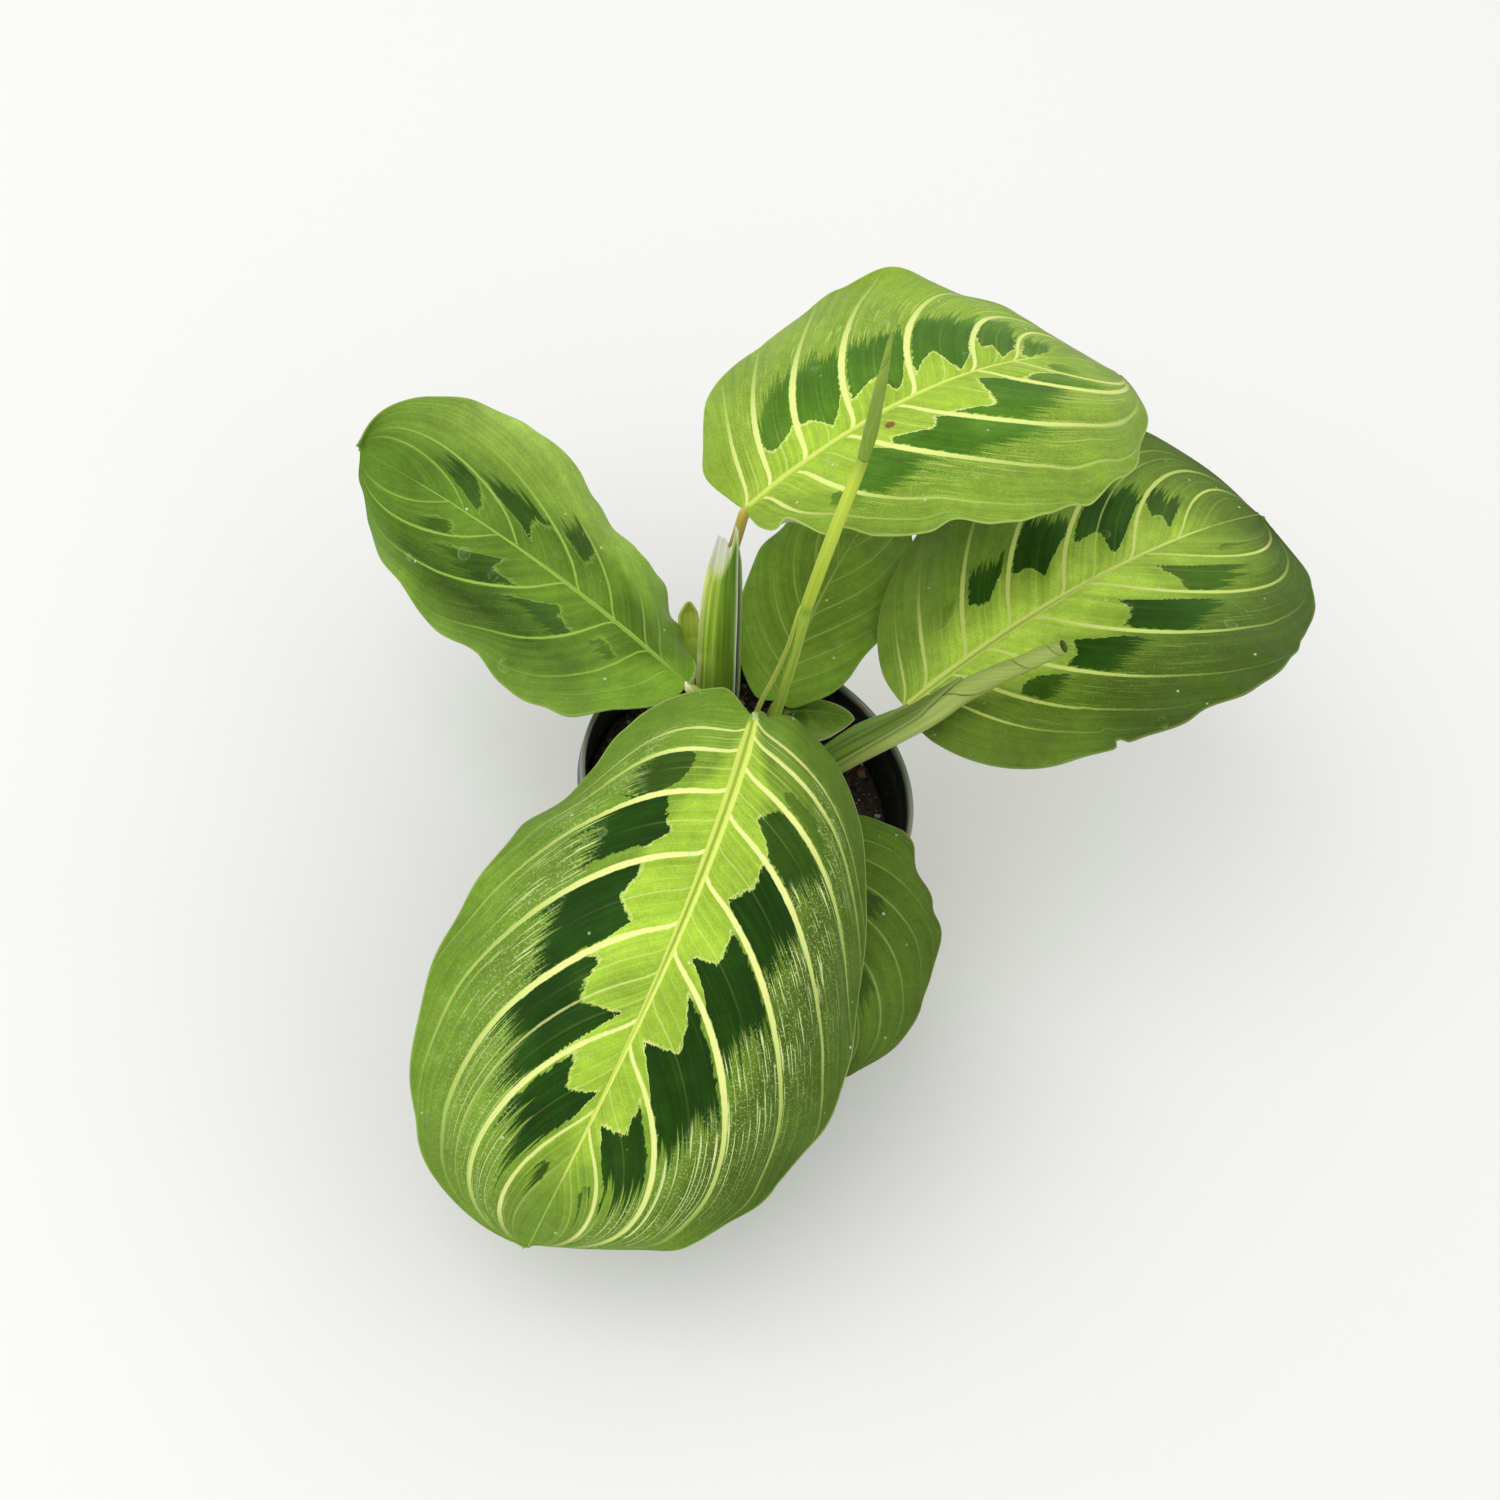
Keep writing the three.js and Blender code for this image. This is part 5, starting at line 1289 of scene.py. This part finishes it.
def valueNoise(x, y, step, seed):
    # smooth noise: random values on a square lattice of the given step, blended between by
    # smooth steps
    lattice = np.random.default_rng(seed).random((64, 64))
    u, v = x / step + 31.5, y / step + 31.5
    i, j = np.floor(u).astype(int), np.floor(v).astype(int)
    a, b = smoothStep(u - i), smoothStep(v - j)
    i, j = i % 63, j % 63
    low = mixBy(lattice[i, j], lattice[i + 1, j], a)
    high = mixBy(lattice[i, j + 1], lattice[i + 1, j + 1], a)
    return mixBy(low, high, b) - 0.5


def soilHeight(x, y):
    # the part's own mound, level + rise sqrt(1 - r) - dip r^4 at share r of the radius, its
    # lumps, which are sine waves across x and y, and crumbs of three sizes on them
    share = np.clip(np.hypot(x, y) / soil["radius"], 0, 1)
    turns = 2 * np.pi / soil["lumpWidth"]
    lumps = np.sin(turns * x + 1) * np.cos(turns * y) + 0.5 * np.sin(turns * (2 * y - x))
    z = soil["level"] + soil["crownRise"] * np.sqrt(1 - share) - soil["edgeDip"] * share ** 4
    z = z + soil["lumpHeight"] * lumps * (1 - 0.5 * share)
    for width, height, seed in soil["crumbs"]:
        z = z + height * valueNoise(x, y, width, seed)
    return z


def soilMaterial():
    # moist peat mix: near black, crumbly and dull, a little wet shine on the tops
    material, shader, add = newMaterial("moistPeatMix")
    place = add("TexCoord")
    dark, light, brown = [colour(tone) for tone in soil["tones"]]
    crumbs = add("TexNoise", place, 900.0, 4.0, 0.7)  # 1 mm
    warm = add("TexNoise", place, 240.0, 3.0)  # 4 mm
    body = add("Mix RGBA", add("MapRange", crumbs, 0.35, 0.72), dark, light)
    body = add("Mix RGBA", add("MapRange", warm, 0.5, 0.75, 0.0, 0.6), body, brown)
    feed(shader, {"Base Color": body, "Roughness": 0.82, "Normal": add("Bump", 0.9, 0.0006, crumbs)})
    return material


def makeSoil():
    # rings of radius times share^0.9 from the edge to the middle, at the soil's height, and
    # below them a plain cone down to the pot's floor
    turn = np.linspace(0, 2 * np.pi, soil["sides"], endpoint=False)
    r = (soil["radius"] * np.linspace(0, 1, soil["rings"]) ** 0.9)[::-1, None]
    x, y = r * np.cos(turn), r * np.sin(turn)
    top = np.stack([x, y, soilHeight(x, y)], -1)
    low = np.stack([np.cos(turn) * soil["lowRadius"], np.sin(turn) * soil["lowRadius"],
                    np.full(turn.shape, soil["low"])], -1)
    nearAxis = low * [0.02, 0.02, 1]
    rings = np.concatenate([nearAxis[None], low[None], top])
    made = piece("pottingSoil", rings, gridQuads(len(rings), soil["sides"], closed=True)[:, ::-1],
                 [soilMaterial()], sharp=180)
    belongs(made, "potting_soil", "soil")


def bitMaterial():
    # bark crumbs, root threads and a few pale grains of perlite, each with its own tone
    material, shader, add = newMaterial("barkAndPerliteBits")
    bark, lightBark, perlite, shade = [colour(tone) for tone in bits["tones"]]
    light, pale, _ = add("SeparateXYZ", add("Attribute", attribute_name="tone")).node.outputs
    rough = add("TexNoise", add("TexCoord"), 2200.0, 2.0)  # 0.4 mm
    body = add("Mix RGBA", pale, add("Mix RGBA", light, bark, lightBark), perlite)
    body = add("Mix RGBA", add("MapRange", rough, 0.3, 0.7, 0.0, 0.5), body, shade)
    feed(shader, {"Base Color": body, "Roughness": 0.8})
    return material


def crumbShapes(rng):
    # one crumb is a cube with its corners moved; every copy is stretched, turned about z by
    # its yaw, tipped, and sunk half into the soil
    count, (low, high) = bits["count"], bits["size"]
    corners = np.array([(a, b, c) for a in (-1, 1) for b in (-1, 1) for c in (-1, 1)], float)
    cube = np.array([(0, 1, 3, 2), (4, 6, 7, 5), (0, 4, 5, 1), (2, 3, 7, 6), (0, 2, 6, 4), (1, 5, 7, 3)])
    size = low + (high - low) * rng.random(count) ** bits["smallPower"]
    second, third = [least + more * rng.random(count) for least, more in (bits["second"], bits["third"])]
    stretch = size[:, None] * np.stack([np.ones(count), second, third], 1) / 2
    least, more = bits["corner"]
    shapes = corners[None] * (least + more * rng.random((count, 8, 1))) * stretch[:, None, :]
    r = (soil["radius"] - bits["fromWall"]) * np.sqrt(rng.random(count))
    turn = 2 * np.pi * rng.random(count)
    x, y = r * np.cos(turn), r * np.sin(turn)
    yaw, tip = 2 * np.pi * rng.random(count), bits["tip"] * (rng.random(count) - 0.5)
    c, s = np.cos(yaw)[:, None], np.sin(yaw)[:, None]
    px, py, pz = np.moveaxis(shapes, -1, 0)
    pz = pz + px * np.sin(tip)[:, None] + (soilHeight(x, y) + bits["sunk"] * size)[:, None]
    points = np.stack([px * c - py * s + x[:, None], px * s + py * c + y[:, None], pz], -1)
    pale = (rng.random(count) < bits["pale"]) * (0.35 + 0.65 * rng.random(count))
    tones = np.stack([rng.random(count) ** 2, pale, 0 * r], 1)
    quads = cube[None] + 8 * np.arange(count)[:, None, None]
    return points.reshape(-1, 3), quads.reshape(-1, 4), np.repeat(tones, 8, 0)


def fibreShapes(rng):
    # a fibre is a thin square bar along (v, -bend v^2), turned by its yaw, a little higher in
    # its middle than at its ends
    count, steps = bits["fibres"], bits["fibreSteps"]
    shortest, longest = bits["fibreHalf"]
    along = np.linspace(-1, 1, steps)[None, :]
    span = (shortest + (longest - shortest) * rng.random(count))[:, None]
    r = (soil["radius"] - bits["fibreFromWall"]) * np.sqrt(rng.random(count))[:, None]
    turn, yaw = 2 * np.pi * rng.random((count, 1)), 2 * np.pi * rng.random((count, 1))
    bend = (rng.random((count, 1)) - 0.5) * bits["fibreBend"]
    x = r * np.cos(turn) + span * (along * np.cos(yaw) - bend * along ** 2 * np.sin(yaw))
    y = r * np.sin(turn) + span * (along * np.sin(yaw) + bend * along ** 2 * np.cos(yaw))
    z = soilHeight(x, y) + bits["fibreLift"][0] + bits["fibreLift"][1] * (1 - along ** 2)
    ring = np.array([(-1, -1), (1, -1), (1, 1), (-1, 1)], float) * bits["fibreThick"]
    sx, sy = -np.sin(yaw)[..., None], np.cos(yaw)[..., None]
    points = np.stack([x[..., None] + sx * ring[:, 0], y[..., None] + sy * ring[:, 0],
                       z[..., None] + ring[:, 1] + 0 * sx], -1)
    one = np.concatenate([gridQuads(steps, 4, closed=True)[:, ::-1], [[0, 1, 2, 3]],
                          [[4 * steps - k for k in (1, 2, 3, 4)]]])
    tones = np.stack([0.5 + 0.5 * rng.random(count), 0.25 * rng.random(count), np.zeros(count)], 1)
    quads = one[None] + 4 * steps * np.arange(count)[:, None, None]
    return points.reshape(-1, 3), quads.reshape(-1, 4), np.repeat(tones, 4 * steps, 0)


def makeBits():
    # the crumbs and the fibres in one mesh
    rng = np.random.default_rng(bits["seed"])
    crumbs, crumbQuads, crumbTones = crumbShapes(rng)
    fibres, fibreQuads, fibreTones = fibreShapes(rng)
    made = piece("soilBits", np.concatenate([crumbs, fibres]),
                 np.concatenate([crumbQuads, fibreQuads + len(crumbs)]), [bitMaterial()],
                 {"tone": np.concatenate([crumbTones, fibreTones])}, sharp=30)
    belongs(made, "potting_soil")


makeSoil()
makeBits()
print("soil made")


# the nursery pot, in millimetres: rim and base are radii, and corner is how much of each
# corner is rounded off
pot = {
    "height": 57, "rim": 33, "rimWide": 0.9, "base": 23.5, "wall": 0.8, "floor": 1.4, "lipHeight": 4.5,
    "lipStep": 0.9, "corner": 0.45, "sides": 192,
    "drains": 6, "drainRadius": 2.5, "drainRing": 15, "drainDepth": 8,
    "tones": ("#2b2d2b", "#373937"), "dust": "#8c9086", "innerShade": "#191a18", "rimHighlight": "#8b8f80",
    "speck": "#6b5c52",
    # heights between which dust, the painted highlight on the rim's top and the painted shade on
    # the inner wall set in, and the same for the inner wall, as a radius at the bottom of a wall
    # that widens by the taper
    "dusty": (50, 56.8), "rimHighlightAt": (55.6, 56.3), "innerShadeAt": (56.2, 55.2), "inner": (23.4, 23.2),
    "taper": 0.1638,
}


def potMaterial():
    # injection-moulded polypropylene, dark grey: soft sheen, faint flow lines round the wall,
    # dried soil and lime on the rim and inside, a painted highlight on the rim's top face and
    # painted shade on the inner wall below it
    material, shader, add = newMaterial("mouldedPolypropylene")
    place = add("TexCoord")
    x, y, height = add("SeparateXYZ", place).node.outputs
    grime = add("TexNoise", place, 160.0, 5.0, 0.65)  # 6 mm
    specks = add("TexNoise", place, 1400.0, 2.0)  # 0.7 mm
    flow = add("TexNoise", add("Mapping", place, (60, 60, 1400)), 1.0, 2.0)  # lines 0.7 mm apart
    body = add("Mix RGBA", flow, *[colour(tone) for tone in pot["tones"]])
    dusty, rimHighlight, innerShade, inner = [[part * millimetre for part in pot[key]]
                                for key in ("dusty", "rimHighlightAt", "innerShadeAt", "inner")]
    high = add("MapRange", height, *dusty, 0.12, 0.75)
    dust = add("Math MULTIPLY", add("MapRange", grime, 0.44, 0.7), high)
    body = add("Mix RGBA", dust, body, colour(pot["dust"]))
    fromAxis = add("VectorMath LENGTH", add("CombineXYZ", x, y))
    straight = add("Math MULTIPLY_ADD", height, -pot["taper"], fromAxis)
    # painted shade: the inner wall below the rim is darkened near to black
    inWall, belowRim = add("MapRange", straight, *inner), add("MapRange", height, *innerShade)
    body = add("Mix RGBA", add("Math MULTIPLY", inWall, belowRim), body, colour(pot["innerShade"]))
    # painted highlight: the rim's top face is lightened to pale grey
    body = add("Mix RGBA", add("MapRange", height, *rimHighlight, 0.0, 0.9), body, colour(pot["rimHighlight"]))
    body = add("Mix RGBA", add("MapRange", specks, 0.64, 0.72, 0.0, 0.5), body, colour(pot["speck"]))
    feed(shader, {"Base Color": body, "Roughness": add("MapRange", grime, 0.3, 0.7, 0.38, 0.6), "IOR": 1.49,
                  "Normal": add("Bump", 0.25, 0.0002, specks)})
    return material


def cutBack(points, others, step):
    # points moved towards others by a step, but by less than half of the way
    away = others - points
    share = np.minimum(step / np.maximum(np.linalg.norm(away, axis=1), 1e-9), 0.45)
    return points + away * share[:, None]


def rounded(profile, step):
    # replaces each corner p of a closed outline by a short curve, a (1 - w)^2 + 2 p w (1 - w)
    # + b w^2
    points = np.array(profile, float)
    a, b = [cutBack(points, np.roll(points, k, 0), step)[:, None] for k in (1, -1)]
    w = np.linspace(0, 1, 5)[None, :, None]
    curve = a * (1 - w) ** 2 + 2 * points[:, None] * w * (1 - w) + b * w ** 2
    return curve.reshape(-1, 2)


def makePot():
    # A wall profile turned about the axis, r cos v, r sin v, z. Its outline is closed only for
    # the rounding: the halves of the first and the last curve that turn towards each other are
    # left out, and rings on the flat floor go on to the axis. The drain holes are cut out.
    rim, base, wall, floor, top = [pot[key] for key in ("rim", "base", "wall", "floor", "height")]
    lipLow, body, inner = top - pot["lipHeight"], rim - pot["lipStep"], rim - pot["rimWide"]
    lowInside = mixBy(base, body, floor / lipLow) - wall
    outline = [
        (base - 2.2, 0), (base, 0), (body, lipLow), (rim, lipLow + 0.2), (rim, top), (inner, top),
        (inner - 0.2, lipLow + 0.8), (body - wall, lipLow - 0.3), (lowInside, floor)]
    wallCurve = rounded(outline, pot["corner"])[3:-3]
    under, above = [(0.05, 0), (base - 2.6, 0)], [(lowInside - 0.8, floor), (0.05, floor)]
    profile = np.concatenate([under, wallCurve, above])
    turn = np.linspace(0, 2 * np.pi, pot["sides"], endpoint=False)
    r, z = profile[:, :1], profile[:, 1:]
    rings = np.stack([r * np.cos(turn), r * np.sin(turn), z + 0 * turn], -1)
    quads = gridQuads(len(rings), pot["sides"], closed=True)[:, ::-1]
    made = piece("nurseryPot", rings, quads, [potMaterial()], sharp=35)
    cutters = []
    ring = pot["drainRing"] * millimetre
    for k in range(pot["drains"]):
        at = 2 * np.pi * k / pot["drains"]
        bpy.ops.mesh.primitive_cylinder_add(
            vertices=32, radius=pot["drainRadius"] * millimetre, depth=pot["drainDepth"] * millimetre,
            location=(ring * np.cos(at), ring * np.sin(at), 0))
        cutters.append(bpy.context.object)
        cut = made.modifiers.new("drain", "BOOLEAN")
        cut.object, cut.solver = cutters[-1], "EXACT"
    ready = made.evaluated_get(bpy.context.evaluated_depsgraph_get())
    finished = bpy.data.meshes.new_from_object(ready)
    made.modifiers.clear()
    made.data = finished
    for cutter in cutters:
        bpy.data.objects.remove(cutter)
    belongs(made, "pot_plastic", "pot")


makePot()
print("pot made")


# Floor, light and sky, in metres. Each light is x, y, z, width and watts, and all look at aim.
studio = {
    "floorSize": 6, "floorTones": ("#f6f6f4", "#eeeeec"), "skyStrength": 0.78, "aim": (0, 0, 0.08),
    "lights": {"key": (-0.55, -0.55, 1.25, 1.3, 7), "fill": (0.8, -0.5, 0.7, 0.8, 0.3),
               "back": (0.1, 1.0, 0.8, 0.8, 1)},
}


def makeStudio():
    # one square of matte paper under the pot, three round lamps turned to the plant, and a sky
    # of one tone
    material, shader, add = newMaterial("matteBackdropPaper")
    grain = add("TexNoise", add("TexCoord"), 900.0, 2.0)  # 1 mm
    tones = [colour(tone) for tone in studio["floorTones"]]
    body = add("Mix RGBA", add("MapRange", grain, 0.0, 1.0, 0.0, 0.15), *tones)
    feed(shader, {"Base Color": body, "Roughness": 0.9, "Specular IOR Level": 0.1})
    half = studio["floorSize"] / millimetre / 2
    corners = np.array([(-half, -half, 0), (half, -half, 0), (half, half, 0), (-half, half, 0)])
    piece("backdropFloor", corners, np.array([[0, 1, 2, 3]]), [material])
    for name, (x, y, z, size, power) in studio["lights"].items():
        light = bpy.data.lights.new(name + "Light", "AREA")
        light.shape, light.size, light.energy = "DISK", size, power
        made = stand(name + "Light", light)
        turn = (Vector((x, y, z)) - Vector(studio["aim"])).to_track_quat("Z", "Y")
        made.matrix_world = Matrix.Translation((x, y, z)) @ turn.to_matrix().to_4x4()
    world = bpy.data.worlds.new("softSky")
    world.use_nodes = True
    feed(world.node_tree.nodes["Background"], {0: (1, 1, 1, 1), 1: studio["skyStrength"]})
    bpy.context.scene.world = world
    bpy.context.scene.view_settings.view_transform = "Standard"


makeStudio()
print("studio made")
